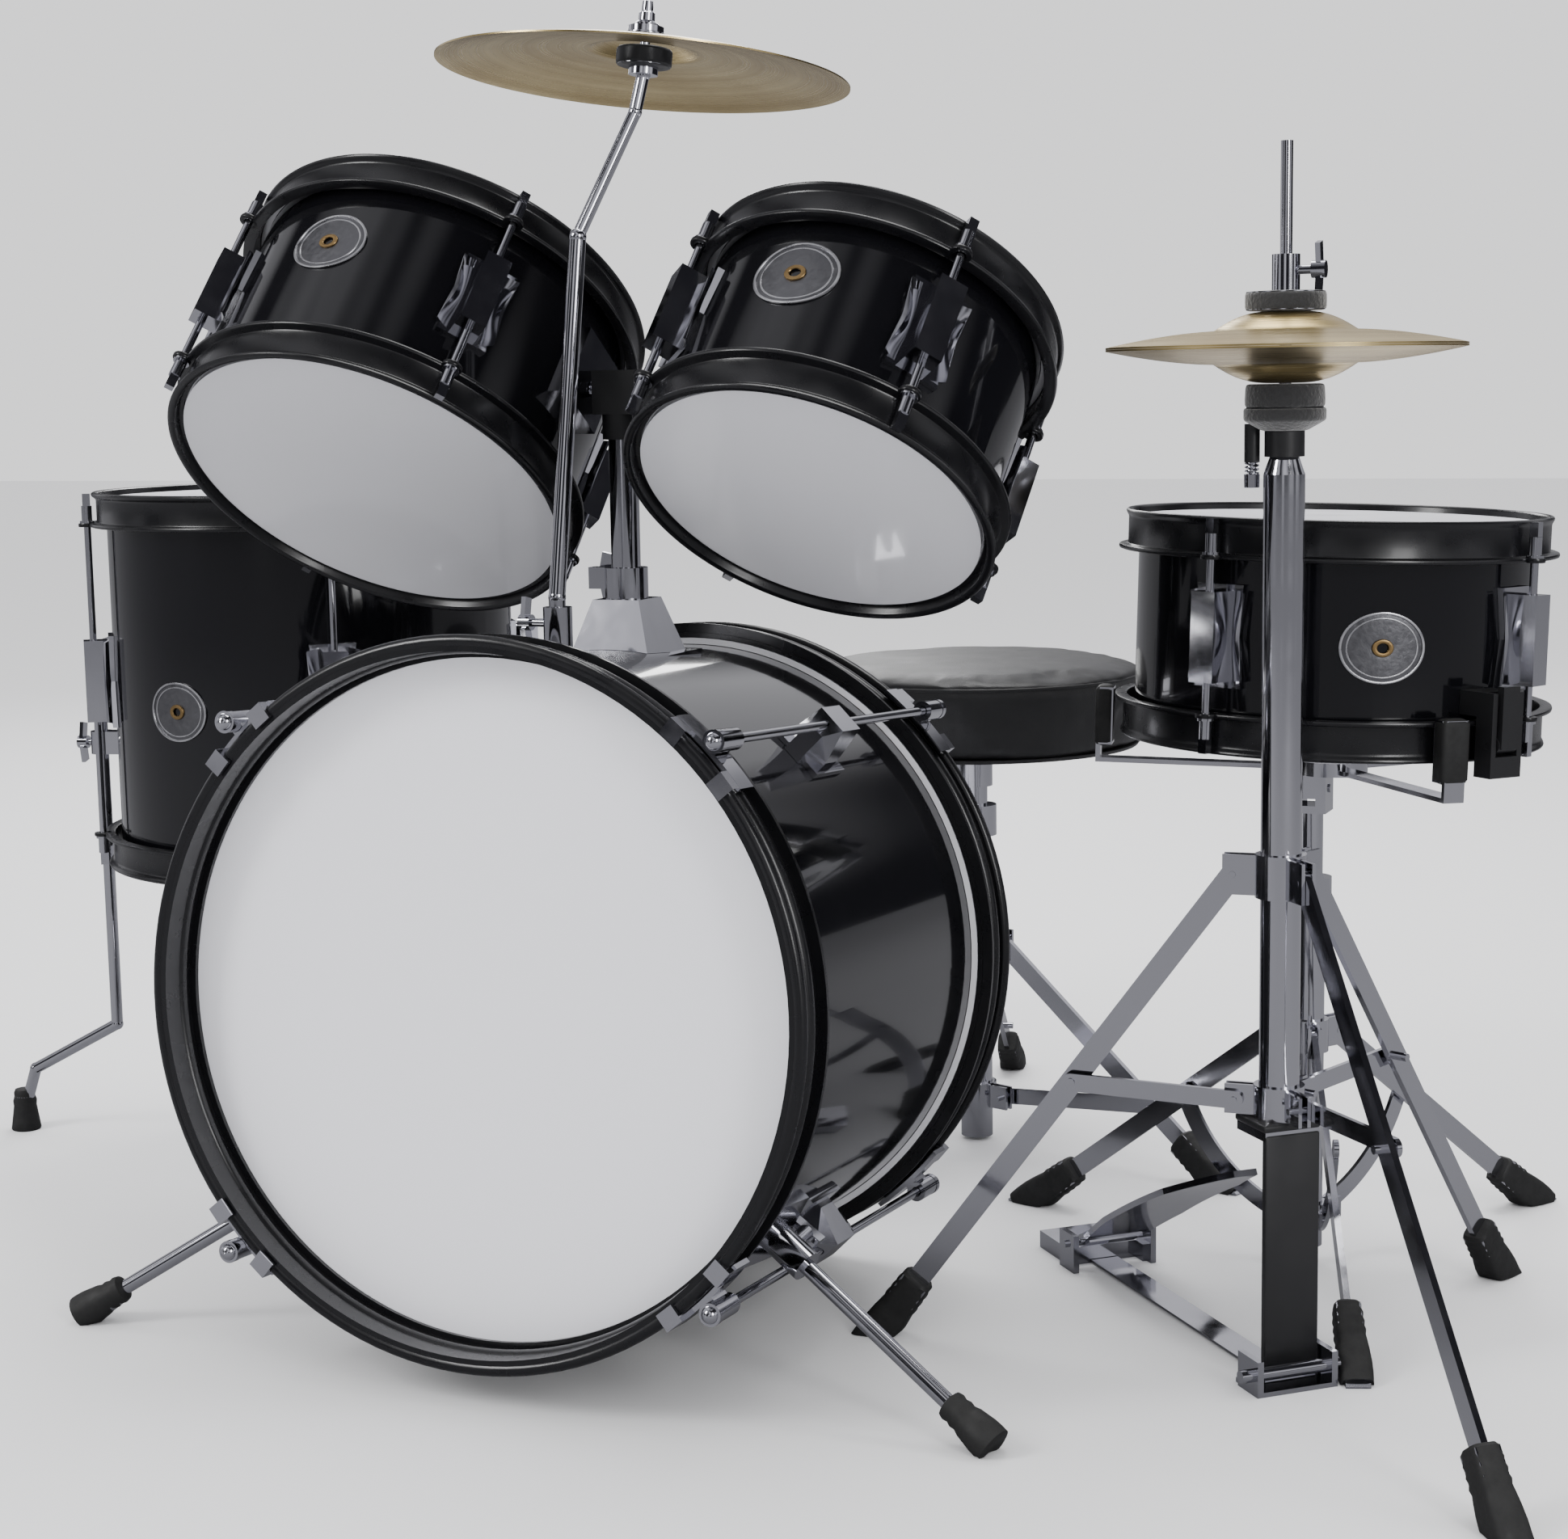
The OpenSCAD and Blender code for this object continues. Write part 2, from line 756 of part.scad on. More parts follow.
// ---------- hi-hat ----------
hihat_pivot = [28, 306];
hihat_low = [26, 170];
hihat_turns = [184, 311, 68];
hihat_joint_at = 0.447;
hihat_heading = -46.7;
hihat_rim_z = 613.5;
toe_z = 118;
heel_z = 18;
heel_at = -252;
toe_reach = 218;
module hihat_stand() color("silver") {
    on_floor(hihat_at) {
        difference() {
            translate([0, 0, 158])
                cylinder(r = tube_r, h = 383);
            cylinder(r = tube_r - 2, h = 600);
        }
        difference() {
            translate([0, 0, 541])
                cylinder(r1 = tube_r, r2 = 8.5, h = 10);
            cylinder(r = 5, h = 600);
        }
        leg_collar(hihat_pivot[1], hihat_pivot[0], 26, tube_r + gap / 2, 4, hihat_turns);
        leg_collar(hihat_low[1], hihat_low[0], 20, tube_r + gap / 2, 3, hihat_turns);
    }
    on_floor(hihat_at, hihat_heading) {
        difference() {
            translate([-18, -18, 150])
                cube([34, 36, 8]);
            translate([0, 0, 100])
                cylinder(r = 5, h = 100);
        }
        translate([13, -17, 2])
            cube([3, 34, 154]);
        translate([2, -29, 0])
            cube([30, 50, 3]);
        for (y = [-31, 19])
            translate([8, y, 0])
                cube([24, 4, 22]);
        translate([25, -39, 12])
            rotate([-90, 0, 0])
                cylinder(r = 4, h = 66);
        translate([heel_at + 20, -10, 1])
            cube([-heel_at - 17, 20, 1.4]);
        difference() {
            translate([heel_at - 26, -27, 0])
                cube([56, 54, 12]);
            translate([heel_at + 19, -24, -1])
                cube([40, 48, 40]);
        }
        for (s = [-1, 1])
            difference() {
                translate([heel_at + 14, s * 29 - 2, 0])
                    cube([22, 4, heel_z + 8]);
                translate([heel_at + 25, -40, heel_z])
                    rotate([-90, 0, 0])
                        cylinder(r = 2.55, h = 80);
            }
    }
}
module hihat_legs() color("silver")
    on_floor(hihat_at)
        for (a = hihat_turns)
            rotate(a) {
                joint = hihat_pivot + hihat_joint_at * ([hihat_foot_r, 10] - hihat_pivot);
                tripod_leg(hihat_pivot, hihat_foot_r, 4);
                translate([0, brace_shift, 0])
                    strip(hihat_low, joint, 11, 3);
                cross_pin(joint, 2.6, 8);
                cross_pin(hihat_low, 2, 8);
            }
// Footboard: an arched plate that narrows towards the heel, on the heel's hinge pin
board_r = 1000;
module hihat_footboard() color("silver")
    on_floor(hihat_at, hihat_heading)
        translate([heel_at + 25, 0, heel_z]) {
            rise = asin((toe_z - heel_z) / toe_reach);
            rotate([0, -rise, 0])
                intersection() {
                    translate([toe_reach / 2, 30, 7 - board_r])
                        rotate([90, 0, 0])
                            difference() {
                                cylinder(r = board_r, h = 60, $fn = 240);
                                translate([0, 0, -1])
                                    cylinder(r = board_r - 4, h = 62, $fn = 240);
                            }
                    translate([0, 0, -20])
                        linear_extrude(80)
                            polygon([[4, -22], [60, -29], [150, -27], [198, -13], [toe_reach - 7, -8],
                                [toe_reach - 7, 8], [198, 13], [150, 27], [60, 29], [4, 22]]);
                }
            rotate([90, 0, 0])
                translate([0, 0, -33])
                    cylinder(r = 2.5, h = 66);
            rotate([0, -rise, 0])
                translate([-3, -20, -3])
                    cube([16, 40, 8]);
        }
module hihat_pull_rod() color("silver")
    on_floor(hihat_at) {
        translate([0, 0, 120])
            cylinder(r = 3.5, h = 609.5);
        translate([-7, -7, 112])
            cube([14, 14, 14]);
        difference() {
            translate([0, 0, 645])
                cylinder(r = 8, h = 21);
            cylinder(r = 3, h = 700);
        }
        translate([7, 0, 657])
            wing_bolt(10);
        difference() {
            translate([0, 0, 634.6])
                cylinder(r = 22.5, h = 10.4);
            cylinder(r = 3, h = 700);
        }
    }
module hihat_seat() color([0.05, 0.05, 0.05])
    on_floor(hihat_at)
        difference() {
            union() {
                translate([0, 0, 551.2])
                    cylinder(r = 11.5, h = 16);
                translate([0, 0, 566])
                    cylinder(r1 = 12, r2 = 23, h = 13);
                translate([0, 0, 579])
                    cylinder(r = 22, h = 13.2);
                translate([-19, 0, 548])
                    cylinder(r = 4.5, h = 22);
            }
            cylinder(r = 4.5, h = 700);
        }
// Cymbal: hollow bell and shallow bow, revolved about its own axis
module cymbal(r, bell_r, bell_h, bow_h, hole_r) {
    bow = [for (i = [0:10]) [bell_r + (r - bell_r) * i / 10, bow_h * (1 - pow(i / 10, 1.6))]];
    bell = [for (i = [0:7]) [hole_r + (bell_r - hole_r) * i / 7, bow_h + bell_h * cos(90 * pow(i / 7, 1.4))]];
    line = concat([for (i = [0:6]) bell[i]], bow);
    rotate_extrude($fn = 120)
        polygon(concat([for (p = line) p + [0, metal_t]],
            [for (i = [len(line) - 1:-1:0]) line[i]]));
}
module hihat_top_cymbal() color([0.75, 0.6, 0.25])
    on_floor(hihat_at)
        translate([0, 0, hihat_rim_z + 0.2])
            cymbal(hihat_d / 2, 41, 11, 8.4, 4.5);
module hihat_bottom_cymbal() color([0.75, 0.6, 0.25])
    on_floor(hihat_at)
        translate([0, 0, hihat_rim_z])
            mirror([0, 0, 1])
                cymbal(hihat_d / 2, 41, 11, 8.4, 5);

// ---------- crash ----------
bend_one = [12, 150, 688];
bend_two = [38, 180, 763];
crash_at = [41.1, 185.9, 785.5];
crash_lean = [-5.7, 3.2, 0];
module cymbal_arm() color("silver")
    translate(kit_shift) {
        bar([arm_at[0], arm_at[1], mount_z + 8], [arm_at[0], arm_at[1], 470], arm_r);
        elbow([arm_at[0], arm_at[1], 470], arm_r);
        bar([arm_at[0], arm_at[1], 470], bend_one, arm_r);
        elbow(bend_one, arm_r);
        bar(bend_one, bend_two, 4);
        elbow(bend_two, 4);
        bar(bend_two, crash_at, 4);
        translate(crash_at)
            rotate(crash_lean) {
                sphere(r = 4.6, $fn = 48);
                cylinder(r = 3, h = 44);
                cylinder(r = 9, h = 5.4);
                difference() {
                    translate([0, 0, 5.4])
                        cylinder(r = 16.5, h = 10);
                    cylinder(r = 3, h = 60);
                }
                translate([0, 0, 24])
                    cylinder(r = 11, h = 5);
                translate([0, 0, 28])
                    cylinder(r = 4.5, h = 9);
            }
    }
module crash_cymbal() color([0.8, 0.72, 0.45])
    translate(kit_shift + crash_at)
        rotate(crash_lean)
            cymbal(crash_d / 2, 34, 8, 13.6, 3.3);

// ---------- throne ----------
throne_pivot = [28, 160];
throne_low = [26, 37];
throne_turns = [341.6, 101.6, 221.6];
seat_h = 68;
module throne_seat() color([0.06, 0.06, 0.06])
    on_floor(throne_at)
        translate([0, 0, seat_top - seat_h])
            rotate_extrude() {
                r = seat_d / 2;
                square([r - 8, seat_h]);
                translate([0, 8])
                    square([r, seat_h - 20]);
                translate([r - 8, 8])
                    circle(r = 8, $fn = 32);
                translate([r - 12, seat_h - 12])
                    circle(r = 12, $fn = 32);
            }
module throne_post() color("silver")
    on_floor(throne_at) {
        translate([0, 0, 150])
            cylinder(r = 10, h = seat_top - seat_h - 156);
        translate([0, 0, seat_top - seat_h - 8])
            difference() {
                cylinder(r = 45, h = 7.7);
                for (a = [45:90:315])
                    rotate(a)
                        translate([34, 0, -1])
                            cylinder(r = 3, h = 20);
            }
        translate([0, 0, seat_top - seat_h - 34])
            cylinder(r = 14, h = 27);
    }
module throne_base() color("silver")
    on_floor(throne_at) {
        difference() {
            translate([0, 0, 3])
                cylinder(r = 12.5, h = 262);
            cylinder(r = 10.08, h = 400);
        }
        difference() {
            translate([0, 0, 245])
                cylinder(r = 17, h = 24);
            cylinder(r = 12.5, h = 265);
            cylinder(r = 10.08, h = 400);
        }
        rotate(150)
            translate([16, 0, 256])
                wing_bolt(8);
        leg_collar(throne_pivot[1], throne_pivot[0], 26, 12.5 + gap / 2, 4, throne_turns);
        leg_collar(throne_low[1], throne_low[0], 20, 12.5 + gap / 2, 3, throne_turns);
        for (a = throne_turns)
            rotate(a) {
                joint = throne_pivot + 0.72 * ([throne_foot_r, 10] - throne_pivot);
                tripod_leg(throne_pivot, throne_foot_r, 4);
                translate([0, brace_shift, 0])
                    strip(throne_low, joint, 12, 3);
                cross_pin(joint, 2.6, 8);
                cross_pin(throne_low, 2, 8);
            }
    }

// ---------- bass pedal ----------
pedal_y = 392;
axle_z = 142;
module pedal_base() color("silver")
    on_floor([0, pedal_y]) {
        translate([-40, -34, 0])
            cube([80, 34, 5]);
        for (s = [-1, 1]) {
            difference() {
                translate([s * 38 - 4, -12, 5])
                    cube([8, 16, axle_z + 8]);
                translate([-60, -4, axle_z])
                    rotate([0, 90, 0])
                        cylinder(r = 4.06, h = 120);
            }
            translate([s * 26 - 1.5, -4, 1])
                cube([3, 148, 3]);
        }
        translate([-30, 112, 0])
            cube([60, 34, 6]);
        for (s = [-1, 1])
            difference() {
                translate([s * 32 - 2, 106, 0])
                    cube([4, 16, 20]);
                translate([-60, 114, 13])
                    rotate([0, 90, 0])
                        cylinder(r = 2.56, h = 120);
            }
    }
module pedal_footboard() color("silver")
    on_floor([0, pedal_y])
        translate([0, 114, 13]) {
            rotate([0, 90, 0])
                translate([0, 0, -34.5])
                    cylinder(r = 2.5, h = 69);
            rotate([-30, 0, 0]) {
                translate([-28, -112, -1])
                    cube([56, 116, 4]);
            }
        }
module pedal_beater() color("silver")
    on_floor([0, pedal_y])
        translate([0, -4, axle_z]) {
            rotate([0, 90, 0])
                translate([0, 0, -44])
                    cylinder(r = 4, h = 88);
            rotate([0, 90, 0])
                translate([0, 0, -12])
                    cylinder(r = 11, h = 24);
            rotate([-18, 0, 0]) {
                translate([0, 0, 8])
                    cylinder(r = 3, h = 92);
                translate([0, 22, 100])
                    rotate([90, 0, 0])
                        cylinder(r = 18, h = 40);
            }
        }

bass_shell();
bass_hoops();
bass_heads();
bass_lugs();
bass_tension_rods();
spur_brackets();
spur_left();
spur_right();
tom_mount_base();
tom_post();
tom_holder();
left_tom_arm();
right_tom_arm();
left_tom_shell();
left_tom_hoops();
left_tom_heads();
left_tom_hardware();
right_tom_shell();
right_tom_hoops();
right_tom_heads();
right_tom_hardware();
floor_tom_shell();
floor_tom_hoops();
floor_tom_heads();
floor_tom_hardware();
floor_leg_left();
floor_leg_front();
floor_leg_rear();
snare_shell();
snare_hoops();
snare_heads();
snare_hardware();
snare_wires();
snare_strainer();
strainer_lever();
snare_stand_tube();
snare_stand_collar();
snare_leg_left();
snare_leg_front();
snare_leg_rear();
snare_brace_left();
snare_brace_front();
snare_brace_rear();
snare_tilter();
snare_basket();
hihat_stand();
hihat_legs();
hihat_footboard();
hihat_pull_rod();
hihat_seat();
hihat_top_cymbal();
hihat_bottom_cymbal();
cymbal_arm();
crash_cymbal();
throne_seat();
throne_post();
throne_base();
pedal_base();
pedal_footboard();
pedal_beater();
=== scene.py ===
"""A junior drum kit in black lacquer and chrome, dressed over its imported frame."""
import json
import math

import bpy
import numpy as np
from mathutils import Matrix, Vector


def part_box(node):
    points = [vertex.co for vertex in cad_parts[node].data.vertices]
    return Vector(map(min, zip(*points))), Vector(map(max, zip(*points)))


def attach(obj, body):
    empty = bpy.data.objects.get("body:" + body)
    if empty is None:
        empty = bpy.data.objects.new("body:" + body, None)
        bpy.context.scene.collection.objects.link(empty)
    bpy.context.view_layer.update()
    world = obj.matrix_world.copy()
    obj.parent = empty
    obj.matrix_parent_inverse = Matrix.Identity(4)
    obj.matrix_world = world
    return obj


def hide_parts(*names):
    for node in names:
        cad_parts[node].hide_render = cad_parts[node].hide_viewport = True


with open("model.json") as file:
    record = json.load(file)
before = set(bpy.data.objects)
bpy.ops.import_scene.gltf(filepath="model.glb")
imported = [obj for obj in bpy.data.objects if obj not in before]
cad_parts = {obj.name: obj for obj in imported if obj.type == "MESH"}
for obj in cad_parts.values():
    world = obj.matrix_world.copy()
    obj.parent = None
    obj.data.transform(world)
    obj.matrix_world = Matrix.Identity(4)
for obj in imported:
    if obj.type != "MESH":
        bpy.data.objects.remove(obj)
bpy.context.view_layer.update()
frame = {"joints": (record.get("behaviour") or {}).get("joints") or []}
MM = 0.001

# ---------- bass drum ---------- A gloss black lacquered shell between two black steel
# hoops, with plain white heads.


def group(name, inputs, outputs):
    """Empty shader node group; inputs are (name, kind, value) and outputs are (name, kind)."""
    tree = bpy.data.node_groups.new(name, "ShaderNodeTree")
    for label, kind, value in inputs:
        socket = tree.interface.new_socket(label, in_out="INPUT", socket_type="NodeSocket" + kind)
        socket.default_value = value
    for label, kind in outputs:
        tree.interface.new_socket(label, in_out="OUTPUT", socket_type="NodeSocket" + kind)
    start = tree.nodes.new("NodeGroupInput")
    end = tree.nodes.new("NodeGroupOutput")
    return tree, start, end


def node(tree, kind, wires, **settings):
    """One shader node with its settings; wires maps a socket's name or number to a value or an output."""
    made = tree.nodes.new("ShaderNode" + kind)
    for key, value in settings.items():
        setattr(made, key, value)
    for key, value in wires.items():
        if isinstance(value, bpy.types.NodeSocket):
            tree.links.new(value, made.inputs[key])
        else:
            made.inputs[key].default_value = value
    return made


def mottle_group():
    """Cloudy variation: value = low + (high - low) * noise(scale * P), with its height for a bump."""
    tree, start, end = group(
        "mottle",
        [("Scale", "Float", 20.0), ("Low", "Float", 0.1), ("High", "Float", 0.2)],
        [("Value", "Float"), ("Height", "Float")],
    )
    place = node(tree, "TexCoord", {})
    noise = node(
        tree, "TexNoise", {"Vector": place.outputs["Object"], "Scale": start.outputs["Scale"], "Detail": 5.0}
    )
    spread = node(
        tree,
        "MapRange",
        {0: noise.outputs[0], 1: 0.3, 2: 0.7, 3: start.outputs["Low"], 4: start.outputs["High"]},
    )
    tree.links.new(spread.outputs[0], end.inputs["Value"])
    tree.links.new(noise.outputs[0], end.inputs["Height"])
    return tree


def dust_group():
    """Fine dust on what faces up: colour = mix(colour, dust, amount * up^2 * noise)."""
    tree, start, end = group(
        "dust",
        [("Color", "Color", (0, 0, 0, 1)), ("Amount", "Float", 0.1)],
        [("Color", "Color")],
    )
    shape = node(tree, "NewGeometry", {})
    parts = node(tree, "SeparateXYZ", {0: shape.outputs["Normal"]})
    up = node(tree, "MapRange", {0: parts.outputs[2], 1: 0.2, 2: 1.0, 3: 0.0, 4: 1.0})
    place = node(tree, "TexCoord", {})
    specks = node(tree, "TexNoise", {"Vector": place.outputs["Object"], "Scale": 90.0, "Detail": 8.0})
    grains = node(tree, "Math", {0: up.outputs[0], 1: specks.outputs[0]}, operation="MULTIPLY")
    share = node(tree, "Math", {0: grains.outputs[0], 1: start.outputs["Amount"]}, operation="MULTIPLY")
    blend = node(
        tree,
        "Mix",
        {"Factor": share.outputs[0], 6: start.outputs["Color"], 7: (0.35, 0.34, 0.32, 1)},
        data_type="RGBA",
    )
    tree.links.new(blend.outputs[2], end.inputs["Color"])
    return tree


mottle = mottle_group()
dust = dust_group()


def finish(name, color, metallic, rough, scale, bump=0.0, dusty=0.0, **constants):
    """Principled material; roughness varies between the two values of rough with clouds of that scale."""
    made = bpy.data.materials.new(name)
    made.use_nodes = True
    tree = made.node_tree
    shader = tree.nodes["Principled BSDF"]
    clouds = tree.nodes.new("ShaderNodeGroup")
    clouds.node_tree = mottle
    clouds.inputs["Scale"].default_value = scale
    clouds.inputs["Low"].default_value = rough[0]
    clouds.inputs["High"].default_value = rough[1]
    tree.links.new(clouds.outputs["Value"], shader.inputs["Roughness"])
    shader.inputs["Base Color"].default_value = (*color, 1)
    shader.inputs["Metallic"].default_value = metallic
    for key, value in constants.items():
        shader.inputs[key.replace("_", " ")].default_value = value
    if dusty:
        layer = tree.nodes.new("ShaderNodeGroup")
        layer.node_tree = dust
        layer.inputs["Color"].default_value = (*color, 1)
        layer.inputs["Amount"].default_value = dusty
        tree.links.new(layer.outputs["Color"], shader.inputs["Base Color"])
    if bump:
        raised = node(tree, "Bump", {"Height": clouds.outputs["Height"], "Strength": bump, "Distance": MM})
        tree.links.new(raised.outputs[0], shader.inputs["Normal"])
    return made


def dress(material, *names):
    """Gives each named node or piece that one material."""
    for name in names:
        mesh = bpy.data.objects[name].data
        mesh.materials.clear()
        mesh.materials.append(material)


lacquer = finish(
    "black lacquer", (0.003, 0.003, 0.004), 0, (0.06, 0.12), 9, bump=0.02, dusty=0.01,
    Coat_Weight=0.5, Coat_Roughness=0.03, Coat_IOR=1.45, Specular_IOR_Level=0.35,
)
satin_steel = finish(
    "black enamelled steel", (0.004, 0.004, 0.005), 0, (0.24, 0.34), 60, bump=0.03, dusty=0.015, Coat_Weight=0.2,
    Coat_Roughness=0.15, Specular_IOR_Level=0.4,
)
chrome = finish("chrome plate", (0.56, 0.56, 0.60), 1, (0.05, 0.14), 45, bump=0.02)
head_film = finish(
    "coated drum head", (0.74, 0.74, 0.78), 0, (0.30, 0.42), 30, bump=0.04, dusty=0.04, Specular_IOR_Level=0.5
)
gloss_film = finish(
    "smooth drum head", (0.50, 0.50, 0.53), 0, (0.10, 0.18), 12, bump=0.02, Coat_Weight=0.6, Coat_Roughness=0.05
)
rubber = finish("black rubber", (0.008, 0.008, 0.008), 0, (0.55, 0.8), 120, bump=0.4, dusty=0.04)
moulded = finish("black moulded plastic", (0.008, 0.008, 0.009), 0, (0.35, 0.5), 150, bump=0.12, dusty=0.02)

DRUMS = ("bass", "left_tom", "right_tom", "floor_tom", "snare")
dress(lacquer, *[drum + "_shell" for drum in DRUMS])
dress(satin_steel, *[drum + "_hoops" for drum in DRUMS])
dress(head_film, "bass_heads", "floor_tom_heads", "snare_heads")
dress(gloss_film, "left_tom_heads", "right_tom_heads")
dress(chrome, "bass_lugs", "bass_tension_rods", "spur_brackets", "spur_left", "spur_right")


def skin(rows, ring=False):
    """Grid of points P[i, j] to (points, faces): quads between rows i and i + 1, each row closed on itself.

    With ring the last row joins the first; otherwise a fan round each end row's mean closes the end.
    """
    count, around = rows.shape[:2]
    spans = count if ring else count - 1
    i, j = np.meshgrid(np.arange(spans), np.arange(around), indexing="ij")
    i_next, j_next = (i + 1) % count, (j + 1) % around
    quads = np.stack([i * around + j, i * around + j_next, i_next * around + j_next, i_next * around + j], -1)
    faces = quads.reshape(-1, 4).tolist()
    points = rows.reshape(-1, 3)
    if not ring:
        total = count * around
        points = np.vstack([points, rows[0].mean(0), rows[-1].mean(0)])
        j = np.arange(around)
        j_next = (j + 1) % around
        faces += np.stack([j_next, j, np.full(around, total)], 1).tolist()
        far = (count - 1) * around
        faces += np.stack([far + j, far + j_next, np.full(around, total + 1)], 1).tolist()
    return turned_out(points, faces)


def turned_out(points, faces):
    """Reverses every face when the volume, the sum of a . (b x c) / 6, comes out negative."""
    tris = np.array([[f[0], f[k], f[k + 1]] for f in faces for k in range(1, len(f) - 1)])
    a, b, c = points[tris[:, 0]], points[tris[:, 1]], points[tris[:, 2]]
    volume = np.einsum("ij,ij->", a, np.cross(b, c))
    return points, faces if volume > 0 else [f[::-1] for f in faces]


def piece(name, parts, material, body, slot, *replaced, smooth=38):
    """One object out of closed parts, riding on a body and standing for the nodes that it replaces."""
    points, faces, start = [], [], 0
    for part_points, part_faces in parts:
        points.append(part_points)
        faces += [[k + start for k in face] for face in part_faces]
        start += len(part_points)
    mesh = bpy.data.meshes.new(name)
    mesh.from_pydata(np.vstack(points).tolist(), [], faces)
    mesh.shade_smooth()
    mesh.set_sharp_from_angle(angle=math.radians(smooth))
    made = bpy.data.objects.new(name, mesh)
    bpy.context.scene.collection.objects.link(made)
    mesh.materials.append(material)
    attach(made, body)
    if replaced:
        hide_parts(*replaced)
    return made


def middle(name):
    """Centre of a node's box, as an array."""
    low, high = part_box(name)
    return (np.array(low) + np.array(high)) / 2


def rounded(corners, radius, steps=4):
    """Closed outline with each corner c cut to a curve (1-t)^2 a + 2t(1-t) c + t^2 b between its sides."""
    c = np.array(corners, float)
    before, after = np.roll(c, 1, 0) - c, np.roll(c, -1, 0) - c
    reach_a = np.minimum(radius, 0.48 * np.linalg.norm(before, axis=1))[:, None]
    reach_b = np.minimum(radius, 0.48 * np.linalg.norm(after, axis=1))[:, None]
    a = c + before / np.linalg.norm(before, axis=1)[:, None] * reach_a
    b = c + after / np.linalg.norm(after, axis=1)[:, None] * reach_b
    t = np.linspace(0, 1, steps)[None, :, None]
    curve = (1 - t) ** 2 * a[:, None] + 2 * t * (1 - t) * c[:, None] + t**2 * b[:, None]
    return curve.reshape(-1, 2)


def axes_of(heading, elevation):
    """Columns x, y, z of a drum's own axes: z points along the drum at that heading and elevation."""
    a, e = math.radians(heading), math.radians(elevation)
    z = np.array([math.sin(a) * math.cos(e), math.cos(a) * math.cos(e), math.sin(e)])
    x = np.array([math.cos(a), -math.sin(a), 0.0])
    return np.stack([x, np.cross(z, x), z], 1)


def axes_along(direction):
    """Columns of axes whose z is that direction, with x level."""
    z = np.array(direction, float)
    z /= np.linalg.norm(z)
    side = np.array([0.0, 1.0, 0.0]) if abs(z[2]) > 0.99 else np.array([0.0, 0.0, 1.0])
    x = np.cross(side, z)
    x /= np.linalg.norm(x)
    return np.stack([x, np.cross(z, x), z], 1)


def lathe(profile, axes, origin, segments=96, ring=True):
    """Revolves an outline of (radius, height) in millimetres: P = origin + axes (r cos a, r sin a, h)."""
    angle = np.linspace(0, 2 * math.pi, segments, endpoint=False)
    r, h = np.array(profile, float).T * MM
    local = np.stack(
        [r[:, None] * np.cos(angle), r[:, None] * np.sin(angle), np.repeat(h[:, None], segments, 1)], -1
    )
    return skin(local @ axes.T + origin, ring)


def turned_rod(profile, axes, origin, segments=24):
    """A turned solid whose outline runs from one end of its axis to the other."""
    return lathe(profile, axes, origin, segments, ring=False)


# Rubber boots pushed on the two spurs, ribbed where they grip the rod
SPUR_TIP = [(6, -31), (8.4, -30), (9.2, -27), (8.4, -24), (9.4, -21), (8.8, -18), (10.2, -14), (11.6, -4), (11.8, 1)]
SPUR_TIP += [(11.6, 5), (9, 6)]
joints = {joint["name"]: joint for joint in frame["joints"]}
bass_at = middle("bass_shell")
for side, turn in (("left", -1), ("right", 1)):
    outward = -np.array(joints["spur_" + side + "_slide"]["axis"], float)
    low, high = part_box("spur_" + side)
    reach = (high[0] - bass_at[0]) if turn > 0 else (bass_at[0] - low[0])
    # The rod's line passes the bracket's eye; its rubber end meets the floor where the box ends
    foot = np.array([bass_at[0] + turn * (reach - 8.4 * MM), low[1] + 10.2 * MM, 8.0 * MM])
    points, faces = turned_rod(SPUR_TIP, axes_along(outward), foot)
    points[:, 2] = np.maximum(points[:, 2], 0.2 * MM)
    piece("spur_boot_" + side, [(points, faces)], rubber, "spur_" + side, "black_plastic")

# ---------- rims of the toms, floor tom and snare ----------
# Pressed steel hoops: a rolled rim, a wall round the head and a flange whose ears take the rods.
# They are enamelled satin black.
TOMS = {
    "left_tom": dict(heading=3.7, elevation=50.4, radius=127.0, length=166.0, lip=10.4, first=49, body="left_tom"),
    "right_tom": dict(heading=7.3, elevation=50.9, radius=101.6, length=148.0, lip=10.4, first=51, body="right_tom"),
    "floor_tom": dict(heading=0, elevation=90, radius=152.4, length=286.0, lip=10.4, first=38, body="kit_base"),
    "snare": dict(heading=66.4, elevation=88.3, radius=127.0, length=147.0, lip=8.6, first=46.4, body="snare_drum"),
}
HOOP_H = 26.0
ROD_OFF = 14.2
for name, drum in TOMS.items():
    r, lip = drum["radius"], drum["lip"]
    axes = axes_of(drum["heading"], drum["elevation"])
    centre = middle(name + "_shell")
    outline = rounded(
        [
            (r + 1.8, 6.7), (r + 4.7, 6.7), (r + 5.4, 0.6), (r + lip - 1, -0.2), (r + lip + 0.6, 1.4),
            (r + lip - 0.6, 3.6), (r + 7.2, 5), (r + 7.2, HOOP_H - 3.4), (r + 13, HOOP_H - 3), (r + 13, HOOP_H),
            (r + 4.9, HOOP_H), (r + 4.9, 9.3), (r + 1.8, 9.3),
        ],
        1.3,
        3,
    )
    parts = []
    for end in (-1, 1):
        bottom = centre + axes[:, 2] * end * drum["length"] / 2 * MM
        facing = axes * np.array([1, end, -end])
        parts.append(lathe(outline, facing, bottom, 128))
        for k in range(4):
            a = math.radians(drum["first"] + 90 * k)
            ear = bottom + axes @ np.array([math.cos(a), math.sin(a), 0]) * (r + ROD_OFF) * MM
            eye = rounded([(3.1, 23.2), (6.6, 23.2), (6.6, 26), (3.1, 26)], 0.7, 3)
            parts.append(lathe(eye, facing, ear, 28))
    drum.update(axes=axes, centre=centre)
    piece(name + "_rims", parts, satin_steel, drum["body"], "black_metal", name + "_hoops")

